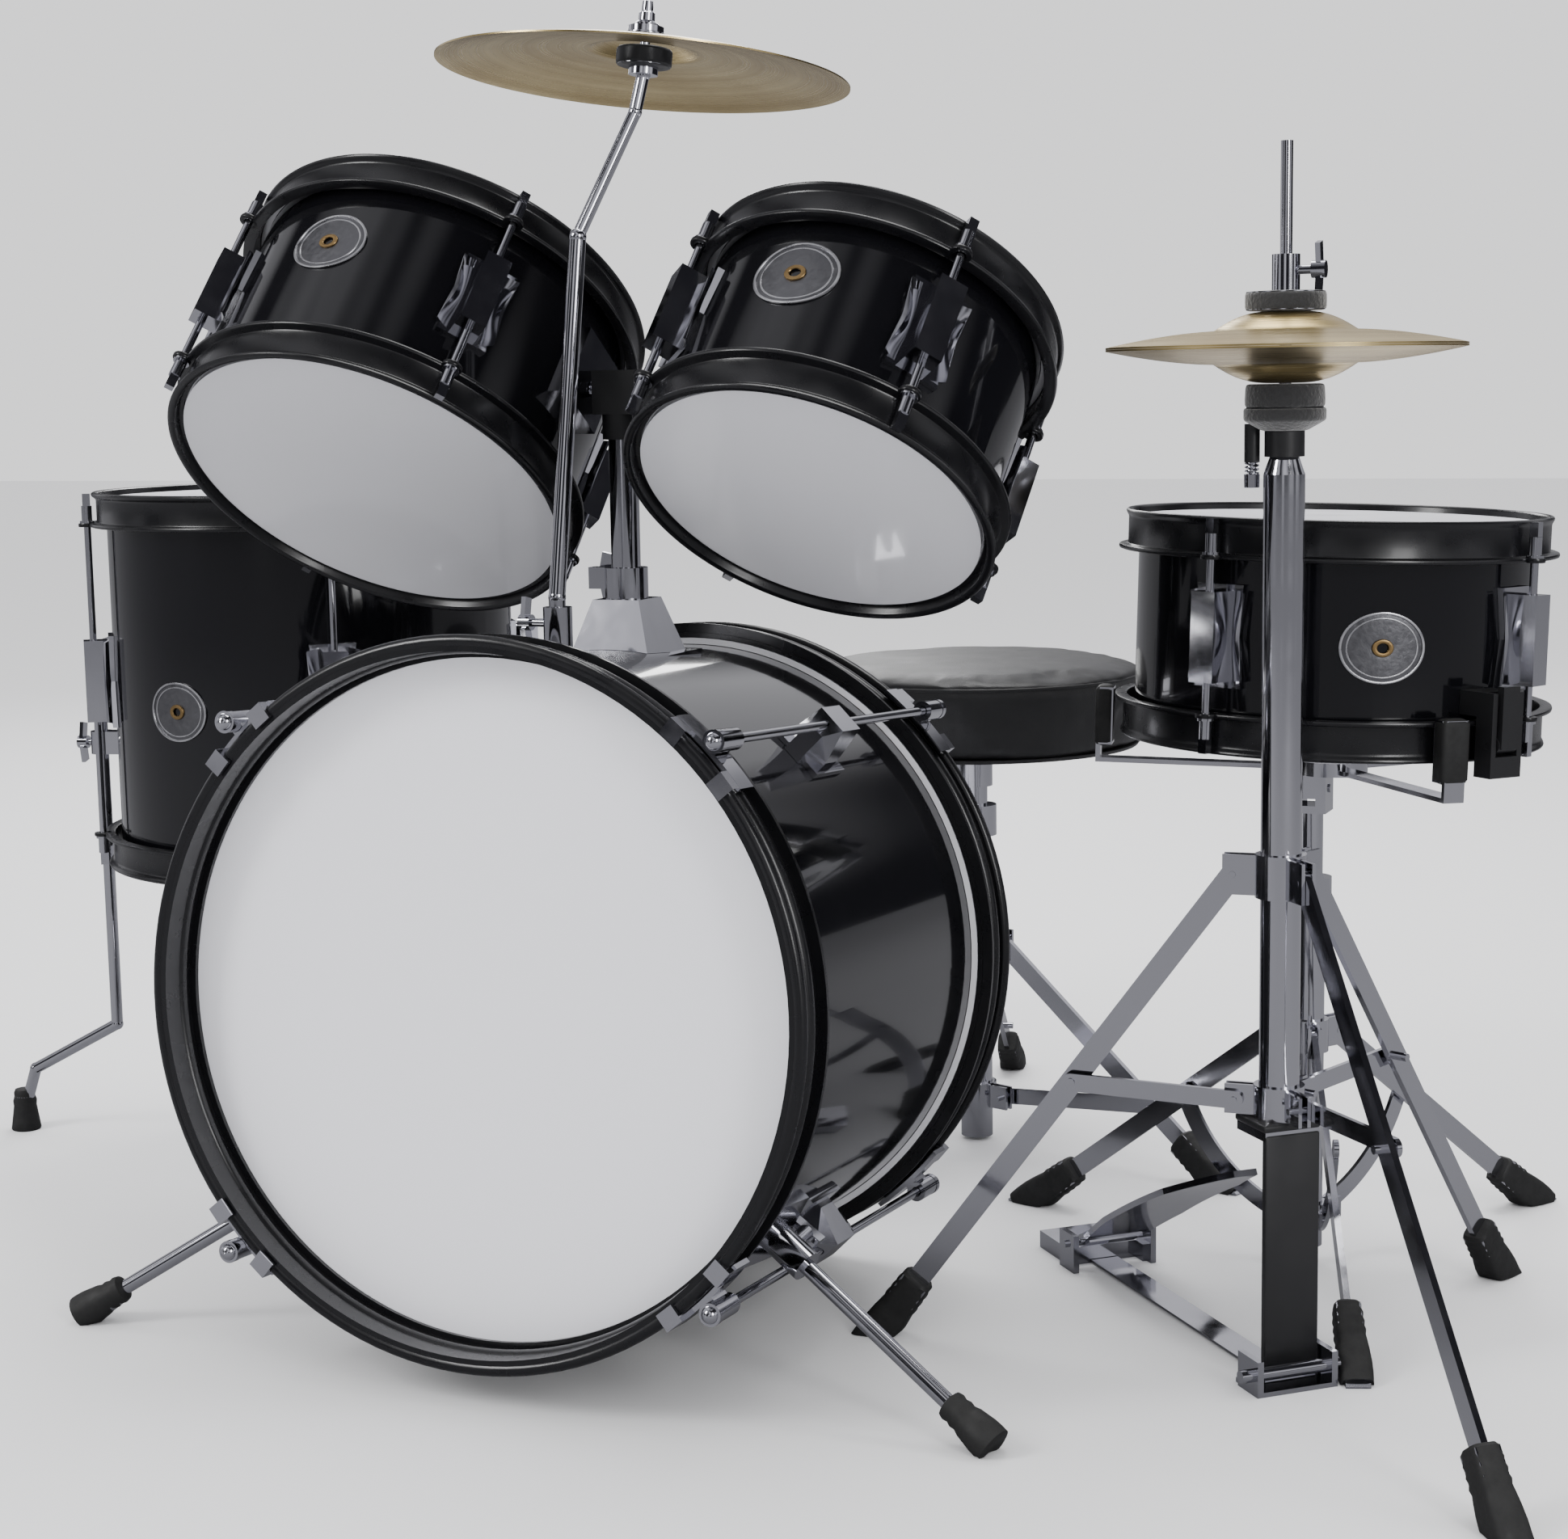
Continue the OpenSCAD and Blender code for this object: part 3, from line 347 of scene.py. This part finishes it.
# ---------- lugs ----------
# Die-cast box lugs: a bar that holds the rods on a waisted plate whose cheeks flare off the shell.
# Chromed; the cheeks are drawn over the plate of each lug.
dress(chrome, *[name + "_hardware" for name in TOMS])


def cheek(drum, angle, side, length):
    """Flared cheek of a lug: P(u, v) stands off the shell by 2.2 + 5 u^2 mm, waisted by 4 cos^2(pi v / 2)."""
    u = np.linspace(0, 1, 9)[:, None]
    v = np.linspace(-1, 1, 25)[None, :]
    reach = 8.8 + u * (10.5 - 4 * np.cos(math.pi * v / 2) ** 2)
    lift = 2.2 + 5 * u**2 + 0 * v
    height = v * length / 2 * (1 - 0.08 * u)
    r = drum["radius"]
    outer = np.stack([r + lift + 1.1 - reach**2 / (2 * r), side * reach + 0 * v, height + 0 * u], -1)
    inner = outer - np.array([1.5, 0, 0])
    rows = np.concatenate([outer, inner[:, ::-1]], 1)
    a = math.radians(angle)
    spin = np.array([[math.cos(a), -math.sin(a), 0], [math.sin(a), math.cos(a), 0], [0, 0, 1]])
    return skin((rows @ spin.T) * MM @ drum["axes"].T + drum["centre"])


LUG_LENGTH = {"left_tom": 56, "right_tom": 56, "floor_tom": 66, "snare": 60}
for name, drum in TOMS.items():
    cheeks = [
        cheek(drum, drum["first"] + 90 * k, side, LUG_LENGTH[name]) for k in range(4) for side in (-1, 1)
    ]
    piece(name + "_lug_cheeks", cheeks, chrome, drum["body"], "chrome")

# ---------- badges ----------
# An oval plate on each drum with a raised rim and a brass vent grommet in its middle.
# The plates carry only a plain engraved border.
badge_black = finish("badge plate", (0.16, 0.16, 0.17), 1, (0.28, 0.45), 240, bump=0.25)
badge_silver = finish("badge metal", (0.55, 0.55, 0.57), 1, (0.22, 0.4), 140, bump=0.1)
brass_ring = finish("grommet brass", (0.30, 0.20, 0.09), 1, (0.3, 0.5), 90, bump=0.1)
BADGES = {"left_tom": (271, 100), "right_tom": (275, 88), "floor_tom": (262, 128), "snare": (2, 70)}


def badge_ring(drum, angle, along, inner, outer, low, high):
    """Oval band on the shell: P(a) = shell + e * (26.5 cos a round it, 22 sin a along it), e from inner to outer."""
    a = np.linspace(0, 2 * math.pi, 72, endpoint=False)
    outline = rounded([(inner, low), (outer, low), (outer, high), (inner, high)], 0.35 * (high - low), 3)
    e, lift = outline[:, 0][:, None], outline[:, 1][:, None]
    r = drum["radius"]
    round_it = math.radians(angle) + 26.5 * e * np.cos(a) / r
    height = 22 * e * np.sin(a) + along - drum["length"] / 2
    local = np.stack([(r + lift) * np.cos(round_it), (r + lift) * np.sin(round_it), height], -1) * MM
    return skin(local @ drum["axes"].T + drum["centre"], ring=True)


for name, (angle, along) in BADGES.items():
    drum = TOMS[name]
    field = badge_ring(drum, angle, along, 0.16, 0.97, 0.05, 0.7)
    lines = [
        badge_ring(drum, angle, along, 0.93, 1.0, 0.1, 1.5),
        badge_ring(drum, angle, along, 0.80, 0.84, 0.5, 1.0),
    ]
    grommet = badge_ring(drum, angle, along, 0.13, 0.25, 0.3, 1.9)
    piece(name + "_badge_field", [field], badge_black, drum["body"], "black_lacquer")
    piece(name + "_badge_lines", lines, badge_silver, drum["body"], "chrome")
    piece(name + "_badge_grommet", [grommet], brass_ring, drum["body"], "brass")

# ---------- tom mount, post, arms and bass pedal ----------
# Chromed steel tube and castings, except the black cast holder that the tom arms turn in.
# The bass pedal behind the drum is chromed too, its beater as well.
dress(chrome, "tom_mount_base", "tom_post", "left_tom_arm", "right_tom_arm")
dress(moulded, "tom_holder")
dress(chrome, "pedal_base", "pedal_footboard", "pedal_beater")
dress(chrome, "floor_leg_left", "floor_leg_front", "floor_leg_rear")
felt = finish(
    "black felt", (0.016, 0.016, 0.017), 0, (0.85, 1.0), 400, bump=0.9, dusty=0.2, Sheen_Weight=0.5,
    Sheen_Roughness=0.5,
)

# Floor tom feet: turned rubber, slipped over the ends of the legs
LEG_FOOT = [(6, 34), (7.5, 33.6), (8.6, 31), (8.4, 28), (9.6, 24)]
LEG_FOOT += [(9.2, 20), (11, 8), (12, 1.2), (11.4, 0.1), (6, 0.1)]
UPRIGHT = np.eye(3)
for side, angle, toe in (("left", 192, -12), ("front", 312, -30), ("rear", 72, 0)):
    a, b = math.radians(angle), math.radians(angle + toe)
    foot = TOMS["floor_tom"]["centre"].copy()
    foot[:2] += np.array([math.cos(a), -math.sin(a)]) * 181.4 * MM * np.array([1, -1])
    foot[:2] += np.array([math.cos(b), math.sin(b)]) * 97 * MM
    foot[2] = 0
    name = "floor_leg_" + side
    piece(name + "_boot", [turned_rod(LEG_FOOT, UPRIGHT, foot)], rubber, name, "black_plastic")

# ---------- cymbals ----------
# Spun bronze: a domed bell in a shallow bow, turned on a lathe whose tool leaves fine rings.
# The crash rides on its bent arm and the two hi-hats face each other on the stand.


def bronze(name, centre, normal):
    """Lathe-turned metal: rings are noise of the distance from the cymbal's own axis, centred by a Mapping."""
    made = bpy.data.materials.new(name)
    made.use_nodes = True
    tree = made.node_tree
    shader = tree.nodes["Principled BSDF"]
    place = node(tree, "TexCoord", {})
    tilt = Vector(normal).rotation_difference(Vector((0, 0, 1))).to_matrix()
    shift = tilt @ Vector(centre)
    centred = node(
        tree,
        "Mapping",
        {"Vector": place.outputs["Object"], "Location": -shift, "Rotation": tilt.to_euler()},
    )
    flat = node(tree, "VectorMath", {0: centred.outputs[0], 1: (1, 1, 0)}, operation="MULTIPLY")
    radius = node(tree, "VectorMath", {0: flat.outputs[0]}, operation="LENGTH")
    line = node(tree, "CombineXYZ", {0: radius.outputs["Value"]})
    fine = node(tree, "TexNoise", {"Vector": line.outputs[0], "Scale": 900.0, "Detail": 3.0})
    broad = node(tree, "TexNoise", {"Vector": line.outputs[0], "Scale": 90.0, "Detail": 2.0})
    clouds = node(tree, "TexNoise", {"Vector": place.outputs["Object"], "Scale": 14.0, "Detail": 4.0})
    mixed = node(tree, "Math", {0: broad.outputs[0], 1: clouds.outputs[0]}, operation="MULTIPLY")
    tint = node(tree, "ValToRGB", {0: mixed.outputs[0]})
    tint.color_ramp.elements[0].position = 0.12
    tint.color_ramp.elements[0].color = (0.40, 0.29, 0.11, 1)
    tint.color_ramp.elements[1].position = 0.42
    tint.color_ramp.elements[1].color = (0.66, 0.53, 0.27, 1)
    rough = node(tree, "MapRange", {0: fine.outputs[0], 1: 0.3, 2: 0.7, 3: 0.22, 4: 0.40})
    grooves = node(tree, "Bump", {"Height": fine.outputs[0], "Strength": 0.35, "Distance": 0.4 * MM})
    tree.links.new(tint.outputs[0], shader.inputs["Base Color"])
    tree.links.new(rough.outputs[0], shader.inputs["Roughness"])
    tree.links.new(grooves.outputs[0], shader.inputs["Normal"])
    shader.inputs["Metallic"].default_value = 1
    return made


def cymbal_outline(radius, bell_r, bell_h, bow_h, hole_r, thick):
    """Outline (r, h): bell h = bow + bell cos(90 t^1.4 deg), then bow h = bow (1 - s^1.6), offset by the metal."""
    t = np.linspace(0, 1, 14)[:-1]
    bell = np.stack([hole_r + (bell_r - hole_r) * t, bow_h + bell_h * np.cos(math.pi / 2 * t**1.4)], 1)
    s = np.linspace(0, 1, 30)
    bow = np.stack([bell_r + (radius - bell_r) * s, bow_h * (1 - s**1.6)], 1)
    line = np.vstack([bell, bow])
    return np.vstack([line + [0, thick], line[::-1]])


def cymbal(name, body, normal, outline, origin, replaced):
    """One spun cymbal, with its own bronze."""
    points, faces = lathe(outline, axes_along(normal), origin, 192)
    metal = bronze(name + " bronze", origin, normal)
    return piece(name, [(points, faces)], metal, body, "brass", replaced, smooth=50)


crash_axis = np.array(joints["crash_spin"]["axis"], float)
crash_at = np.array(joints["crash_spin"]["pos_m"], float)
crash_outline = cymbal_outline(127, 34, 8, 13.6, 3.4, 1.0)
cymbal("crash_bronze", "crash_cymbal", crash_axis, crash_outline, crash_at, "crash_cymbal")

stand = middle("hihat_pull_rod")
stand[:2] = middle("hihat_top_cymbal")[:2]
hat_outline = cymbal_outline(102.5, 41, 11, 8.4, 5.0, 1.0)
rim_top = np.array([stand[0], stand[1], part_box("hihat_top_cymbal")[0][2]])
rim_low = np.array([stand[0], stand[1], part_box("hihat_bottom_cymbal")[1][2]])
cymbal("hihat_top_bronze", "hihat_rod", (0, 0, 1), hat_outline, rim_top, "hihat_top_cymbal")
cymbal("hihat_bottom_bronze", "kit_base", (0, 0, -1), hat_outline, rim_low, "hihat_bottom_cymbal")
# The bright plating would otherwise mirror the bronze as brown patches.
for plate in ("crash_bronze", "hihat_top_bronze", "hihat_bottom_bronze"):
    bpy.data.objects[plate].visible_glossy = False

# ---------- crash arm ----------
# A bent chromed rod; the cymbal sits on a black cup under its bell, held by a chrome washer and a nut.
dress(chrome, "cymbal_arm")
crash_axes = axes_along(crash_axis)
cup = rounded([(3.2, 5), (17.2, 5), (17.2, 16), (3.2, 16)], 2.2, 4)
piece("crash_cup", [lathe(cup, crash_axes, crash_at, 48)], moulded, "cymbal_arm", "black_plastic")
washer = rounded([(3.2, 23.4), (12.5, 23.4), (12.5, 25.2), (3.2, 25.2)], 0.6, 3)
nut = [(4.8, 28.4), (7.6, 28.6), (7.8, 30.5), (5.2, 32.5), (5.0, 37.2)]
nut += [(3.6, 38.6), (3.6, 41), (3.3, 44.3), (1.2, 44.8)]
crash_nut = [lathe(washer, crash_axes, crash_at, 48), turned_rod(nut, crash_axes, crash_at)]
piece("crash_nut", crash_nut, chrome, "cymbal_arm", "chrome")

# ---------- hi-hat stand ----------
# Chromed tube on a strip-steel tripod, with a black pressed frame round the pull rod.
# The cymbals are held between black felts; the lower one rests on a plastic seat with a tilt screw.
dress(chrome, "hihat_stand", "hihat_legs", "hihat_footboard", "hihat_pull_rod")
dress(moulded, "hihat_seat")
axle = np.array([stand[0], stand[1], 0.0])
clutch_felt = rounded([(4, 634.2), (23, 634.2), (23.2, 639.6), (23, 645.3), (4, 645.3)], 2.4, 4)
piece("clutch_felt", [lathe(clutch_felt, UPRIGHT, axle, 64)], felt, "hihat_rod", "black_plastic")
seat_felt = rounded([(4.8, 579.2), (22.6, 579.2), (23, 583), (22.4, 592.8), (4.8, 592.8)], 2.4, 4)
seat_cup = rounded([(4.8, 566), (13, 566), (23.6, 572), (23.6, 579), (4.8, 579)], 1.6, 4)
seat_parts = [lathe(seat_felt, UPRIGHT, axle, 64), lathe(seat_cup, UPRIGHT, axle, 64)]
piece("hihat_seat_felt", seat_parts, felt, "kit_base", "black_plastic")


def spring(radius, wire, turns, low, high, centre):
    """Helix C(t) = (R cos 2 pi n t, R sin 2 pi n t, h) carrying a circle of the wire's radius."""
    t = np.linspace(0, 1, turns * 16)
    a = 2 * math.pi * turns * t
    line = np.stack([radius * np.cos(a), radius * np.sin(a), low + (high - low) * t], 1) * MM + centre
    out = np.stack([np.cos(a), np.sin(a), 0 * a], 1)
    up = np.array([0.0, 0.0, 1.0])
    b = np.linspace(0, 2 * math.pi, 8, endpoint=False)
    circle = np.cos(b)[None, :, None] * out[:, None] + np.sin(b)[None, :, None] * up
    return skin(line[:, None] + wire * MM * circle)


screw_at = axle + np.array([-19 * MM, 0, 0])
screw = [(2.0, 533), (4.4, 533.4), (4.6, 541), (2.0, 541.6), (2.0, 560)]
tilt_parts = [spring(3.6, 0.7, 6, 541.6, 555, screw_at), turned_rod(screw, UPRIGHT, screw_at)]
piece("hihat_tilt_screw", tilt_parts, chrome, "kit_base", "chrome")

HEADING = math.radians(-46.7)
base_axes = np.array(
    [[math.cos(HEADING), -math.sin(HEADING), 0], [math.sin(HEADING), math.cos(HEADING), 0], [0, 0, 1]]
)


def block(size, corner, radius, axes, origin):
    """Box of that size in millimetres with soft edges: rounded outlines drawn in at both ends."""
    sx, sy, sz = size
    levels = np.array([0, 0.35 * radius, radius, sz - radius, sz - 0.35 * radius, sz])
    inset = np.array([radius, 0.35 * radius, 0, 0, 0.35 * radius, radius])
    rows = []
    for z, cut in zip(levels, inset):
        flat = rounded(
            [(cut, cut), (sx - cut, cut), (sx - cut, sy - cut), (cut, sy - cut)], max(radius, 0.3), 4
        )
        rows.append(np.column_stack([flat, np.full(len(flat), z)]))
    local = (np.array(rows) + np.array(corner)) * MM
    return skin(local @ axes.T + origin)


frame_black = finish("black painted strip", (0.012, 0.012, 0.013), 0, (0.3, 0.45), 70, bump=0.05, dusty=0.06)
uprights = [
    block((5, 36, 150), (12, -18, 3.5), 1.0, base_axes, axle),
    block((36, 37.5, 4.6), (-19.5, -18.8, 155.2), 1.2, base_axes, axle),
]
piece("hihat_frame", uprights, frame_black, "kit_base", "black_plastic")

# ---------- snare stand ----------
# A chromed tube in a folding tripod, with a tilting basket of three strip arms.
# Rubber sleeves on the arm tips grip the drum's lower rim.
dress(chrome, "snare_stand_tube", "snare_stand_collar", "snare_tilter", "snare_basket")
dress(chrome, *["snare_leg_" + side for side in ("left", "front", "rear")])
dress(chrome, *["snare_brace_" + side for side in ("left", "front", "rear")])
snare = TOMS["snare"]
sleeves = []
for angle in (258.4, 18.4, 121.4):
    a = math.radians(angle)
    spin = np.array([[math.cos(a), -math.sin(a), 0], [math.sin(a), math.cos(a), 0], [0, 0, 1]])
    rim = snare["centre"] - snare["axes"][:, 2] * snare["length"] / 2 * MM
    sleeves.append(block((12, 19, 40), (140.4, -9.5, -11), 3.0, snare["axes"] @ spin, rim))
piece("basket_sleeves", sleeves, rubber, "snare_drum", "black_plastic")
wire_steel = finish("snare wire", (0.6, 0.6, 0.62), 1, (0.2, 0.35), 200, bump=0.1)
dress(wire_steel, "snare_wires")
dress(moulded, "snare_strainer", "strainer_lever")

# ---------- rubber feet of the tripods ----------
# Each strip leg ends in a moulded boot with ribs across its neck and a flat sole.


def boot(ground, turn, lean):
    """Boot lofted up its leg: rows at s along the leg, half sizes a, b as a superellipse |x/a|^4 + |y/b|^4 = 1.

    The leg leans by that angle from upright; what would pass under the floor is pressed flat on it.
    """
    s = np.array([-22, -14, -6, 2, 9, 13, 16, 19, 22, 25, 28, 31, 34, 36])
    half_x = np.array([12, 12.6, 12.6, 12.0, 11.2, 10.6, 11.3, 10.4, 11.1, 10.2, 10.9, 10.0, 10.2, 8.6])
    t = np.linspace(0, 2 * math.pi, 40, endpoint=False)
    x = np.sign(np.cos(t)) * np.abs(np.cos(t)) ** 0.5
    y = np.sign(np.sin(t)) * np.abs(np.sin(t)) ** 0.5
    across = half_x[:, None] * x
    along = np.repeat(s[:, None] * 1.0, len(t), 1)
    rows = np.stack(
        [
            across * math.cos(lean) - along * math.sin(lean),
            half_x[:, None] * 0.84 * y,
            across * math.sin(lean) + along * math.cos(lean) + 10,
        ],
        -1,
    )
    rows[..., 2] = np.maximum(rows[..., 2], 0.3 + 0.02 * (s[:, None] + 22))
    spin = np.array([[math.cos(turn), -math.sin(turn), 0], [math.sin(turn), math.cos(turn), 0], [0, 0, 1]])
    return skin(rows * MM @ spin.T + ground)


def boots(hub, turns, foot_r, pivot):
    """Boots at the foot radius round a hub, leaning back along their legs from (foot, 10) to the pivot."""
    lean = math.atan2(foot_r - pivot[0], pivot[1] - 10)
    made = []
    for angle in turns:
        a = math.radians(angle)
        ground = np.array([hub[0] + foot_r * MM * math.cos(a), hub[1] + foot_r * MM * math.sin(a), 0])
        made.append(boot(ground, a, lean))
    return made


piece("hihat_boots", boots(axle, (184, 311, 68), 246, (28, 306)), rubber, "kit_base", "black_plastic")
tube = middle("snare_tilter")
snare_boots = boots(tube, (164, 290, 57), 216, (24, 158))
for side, sole in zip(("left", "front", "rear"), snare_boots):
    piece("snare_boot_" + side, [sole], rubber, "snare_leg_" + side, "black_plastic")
throne = middle("throne_post")
piece("throne_boots", boots(throne, (341.6, 101.6, 221.6), 221, (28, 160)), rubber, "kit_base", "black_plastic")

# ---------- throne ----------
# A round foam cushion in black vinyl with a welted seam under the crown, on a height-adjusting post.
# The vinyl has a fine leather grain and is pulled in slightly at the seam.
dress(chrome, "throne_base", "throne_post")


def vinyl_material():
    """Black vinyl: Voronoi cell edges for the grain, with slow changes of sheen where it is handled."""
    made = finish("black vinyl", (0.013, 0.013, 0.014), 0, (0.36, 0.5), 18, dusty=0.05, Specular_IOR_Level=0.45)
    tree = made.node_tree
    place = node(tree, "TexCoord", {})
    cells = node(
        tree, "TexVoronoi", {"Vector": place.outputs["Object"], "Scale": 620.0}, feature="DISTANCE_TO_EDGE"
    )
    folds = node(tree, "TexNoise", {"Vector": place.outputs["Object"], "Scale": 55.0, "Detail": 6.0})
    both = node(tree, "Math", {0: cells.outputs[0], 1: folds.outputs[0]}, operation="ADD")
    grain = node(tree, "Bump", {"Height": both.outputs[0], "Strength": 0.35, "Distance": 0.5 * MM})
    tree.links.new(grain.outputs[0], tree.nodes["Principled BSDF"].inputs["Normal"])
    return made


vinyl = vinyl_material()
seat_low, seat_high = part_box("throne_seat")
seat_at = np.array([throne[0], throne[1], seat_low[2]])
SEAT_R = 138.0
SEAT_H = (seat_high[2] - seat_low[2]) / MM
SEAM_H = SEAT_H - 14


def seat_outline():
    """Foam outline from the underside's centre to the crown: flat base, upright wall, domed top."""
    wall = [(0.5, 1), (60, 1), (SEAT_R - 16, 1), (SEAT_R - 7, 3), (SEAT_R - 4, 10), (SEAT_R - 3, 25)]
    wall += [(SEAT_R - 3, SEAM_H - 4), (SEAT_R - 5, SEAM_H + 4), (SEAT_R - 14, SEAT_H - 8)]
    crown = [(r, SEAT_H - 3 - 4.5 * (r / SEAT_R) ** 2) for r in (SEAT_R - 30, 80, 50, 20, 0.5)]
    return wall + crown


def puffed(made, cap):
    """Cloth under pressure on a remeshed copy; no point moves further than cap."""
    remesh = made.modifiers.new("remesh", "REMESH")
    remesh.mode = "VOXEL"
    remesh.voxel_size = 5 * MM
    graph = bpy.context.evaluated_depsgraph_get()
    dense = bpy.data.meshes.new_from_object(made.evaluated_get(graph))
    made.modifiers.clear()
    made.data = dense
    rest = np.empty(len(dense.vertices) * 3)
    dense.vertices.foreach_get("co", rest)
    rest = rest.reshape(-1, 3)
    cloth = made.modifiers.new("cloth", "CLOTH")
    cloth.settings.use_pressure = True
    cloth.settings.uniform_pressure_force = 4
    cloth.settings.effector_weights.gravity = 0
    for step in range(1, 21):
        bpy.context.scene.frame_set(step)
    graph = bpy.context.evaluated_depsgraph_get()
    blown = np.empty(len(rest) * 3)
    made.evaluated_get(graph).data.vertices.foreach_get("co", blown)
    made.modifiers.clear()
    bpy.context.scene.frame_set(1)
    move = blown.reshape(-1, 3) - rest
    far = np.linalg.norm(move, axis=1, keepdims=True)
    return dense, rest + move * np.minimum(1, cap / np.maximum(far, 1e-9))


cushion = piece(
    "throne_cushion", [turned_rod(seat_outline(), UPRIGHT, seat_at, 96)], vinyl, "throne_seat", "vinyl",
    "throne_seat", smooth=180,
)
welt_r = SEAT_R - 4.5
dense, shape = puffed(cushion, 2.6 * MM)
# The seam: points within a few millimetres of its height are drawn in by a bell curve
height = (shape[:, 2] - seat_at[2]) / MM
flat = shape[:, :2] - seat_at[:2]
reach = np.linalg.norm(flat, axis=1)
at_wall = (reach > (SEAT_R - 22) * MM)[:, None]
pull = 2.4 * MM * np.exp(-(((height - SEAM_H) / 3.2) ** 2))[:, None]
shape[:, :2] -= at_wall * pull * flat / np.maximum(reach, 1e-6)[:, None]
shape[:, 2] = np.maximum(shape[:, 2], seat_at[2] + 0.4 * MM)
# The welt is sewn in the seam, so it takes the radius that the swollen seat has there
beside = at_wall[:, 0] & (np.abs(height - SEAM_H) < 2)
welt_r = float(np.median(np.linalg.norm(shape[beside, :2] - seat_at[:2], axis=1))) / MM
dense.vertices.foreach_set("co", shape.ravel())
dense.materials.clear()
dense.materials.append(vinyl)
dense.shade_smooth()
soft = cushion.modifiers.new("smooth", "SUBSURF")
soft.levels = 1
soft.render_levels = 1
welt_in, welt_out, WELT_HALF = welt_r - 2.4, welt_r + 1.0, 1.6
welt_low, welt_high = SEAM_H - WELT_HALF, SEAM_H + WELT_HALF
welt = rounded(
    [(welt_in, welt_low), (welt_out, welt_low), (welt_out, welt_high), (welt_in, welt_high)], WELT_HALF, 4
)
hem = rounded([(SEAT_R - 26, -0.6), (SEAT_R - 11, -0.6), (SEAT_R - 9, 2.5), (SEAT_R - 26, 2.5)], 1, 3)
trim = [lathe(welt, UPRIGHT, seat_at, 144), lathe(hem, UPRIGHT, seat_at, 144)]
piece("throne_welt", trim, vinyl, "throne_seat", "vinyl")

# ---------- stage, light and camera ----------
# A pale floor under soft studio light; the view is from low in front of the hi-hat side.


def pale_floor():
    """Matt pale paint; mirrored rays meet a darker shade of it, so that gloss keeps its depth."""
    made = bpy.data.materials.new("pale floor")
    made.use_nodes = True
    tree = made.node_tree
    paint = tree.nodes["Principled BSDF"]
    paint.inputs["Base Color"].default_value = (0.86, 0.86, 0.87, 1)
    paint.inputs["Roughness"].default_value = 0.85
    shade = node(tree, "BsdfDiffuse", {"Color": (0.20, 0.20, 0.21, 1)})
    sight = node(tree, "LightPath", {})
    both = node(tree, "MixShader", {0: sight.outputs["Is Glossy Ray"], 1: paint.outputs[0], 2: shade.outputs[0]})
    tree.links.new(both.outputs[0], tree.nodes["Material Output"].inputs["Surface"])
    return made


floor_mesh = bpy.data.meshes.new("floor")
floor_mesh.from_pydata([(-14, -14, 0), (14, -14, 0), (14, 14, 0), (-14, 14, 0)], [], [(0, 1, 2, 3)])
floor = bpy.data.objects.new("floor", floor_mesh)
bpy.context.scene.collection.objects.link(floor)
floor_mesh.materials.append(pale_floor())


def lamp(name, place, aim, size, power):
    """Soft square lamp that faces its aim."""
    light = bpy.data.lights.new(name, "AREA")
    light.shape = "RECTANGLE"
    light.size, light.size_y = size
    light.energy = power
    made = bpy.data.objects.new(name, light)
    bpy.context.scene.collection.objects.link(made)
    made.location = place
    made.rotation_euler = (Vector(aim) - Vector(place)).to_track_quat("-Z", "Y").to_euler()


lamp("key", (-2.2, -2.6, 2.4), (0, 0, 0.4), (0.9, 1.6), 75)
lamp("fill", (2.8, -2.2, 1.6), (0.2, 0, 0.35), (0.7, 1.6), 38)
lamp("top", (0.2, 0.6, 2.8), (0, 0, 0.2), (1.8, 1.2), 45)
lamp("back", (-1.4, 2.6, 1.8), (0, 0, 0.5), (1.0, 1.4), 30)

world = bpy.data.worlds.new("studio")
bpy.context.scene.world = world
world.use_nodes = True
sky = world.node_tree
for old in list(sky.nodes):
    sky.nodes.remove(old)
way = node(sky, "TexCoord", {})
patches = node(sky, "TexNoise", {"Vector": way.outputs["Generated"], "Scale": 1.9, "Detail": 1.0})
walls = node(sky, "ValToRGB", {0: patches.outputs[0]})
walls.color_ramp.elements[0].position = 0.44
walls.color_ramp.elements[0].color = (0.02, 0.02, 0.024, 1)
walls.color_ramp.elements[1].position = 0.60
walls.color_ramp.elements[1].color = (0.74, 0.74, 0.78, 1)
room = node(sky, "Background", {"Color": walls.outputs[0], "Strength": 1.0})
backdrop = node(sky, "Background", {"Color": (0.96, 0.96, 0.97, 1), "Strength": 1.35})
sight = node(sky, "LightPath", {})
choose = node(sky, "MixShader", {0: sight.outputs["Is Glossy Ray"], 1: backdrop.outputs[0], 2: room.outputs[0]})
out = node(sky, "OutputWorld", {0: choose.outputs[0]})

YAW, PITCH, ROLL = 0.412, 0.140, -0.017
EYE = (0.82936, -1.79488, 0.598)
LENS_MM, SENSOR_MM = 62.96, 36
gaze = Vector((-math.sin(YAW) * math.cos(PITCH), math.cos(YAW) * math.cos(PITCH), -math.sin(PITCH)))
level = Vector((math.cos(YAW), math.sin(YAW), 0))
upward = level.cross(gaze)
right = level * math.cos(ROLL) + upward * math.sin(ROLL)
top = upward * math.cos(ROLL) - level * math.sin(ROLL)
lens = bpy.data.cameras.new("camera")
lens.lens = LENS_MM
lens.sensor_width = SENSOR_MM
lens.clip_end = 60
camera = bpy.data.objects.new("camera", lens)
bpy.context.scene.collection.objects.link(camera)
camera.matrix_world = Matrix(
    (
        (right[0], top[0], -gaze[0], EYE[0]),
        (right[1], top[1], -gaze[1], EYE[1]),
        (right[2], top[2], -gaze[2], EYE[2]),
        (0, 0, 0, 1),
    )
)
bpy.context.scene.camera = camera
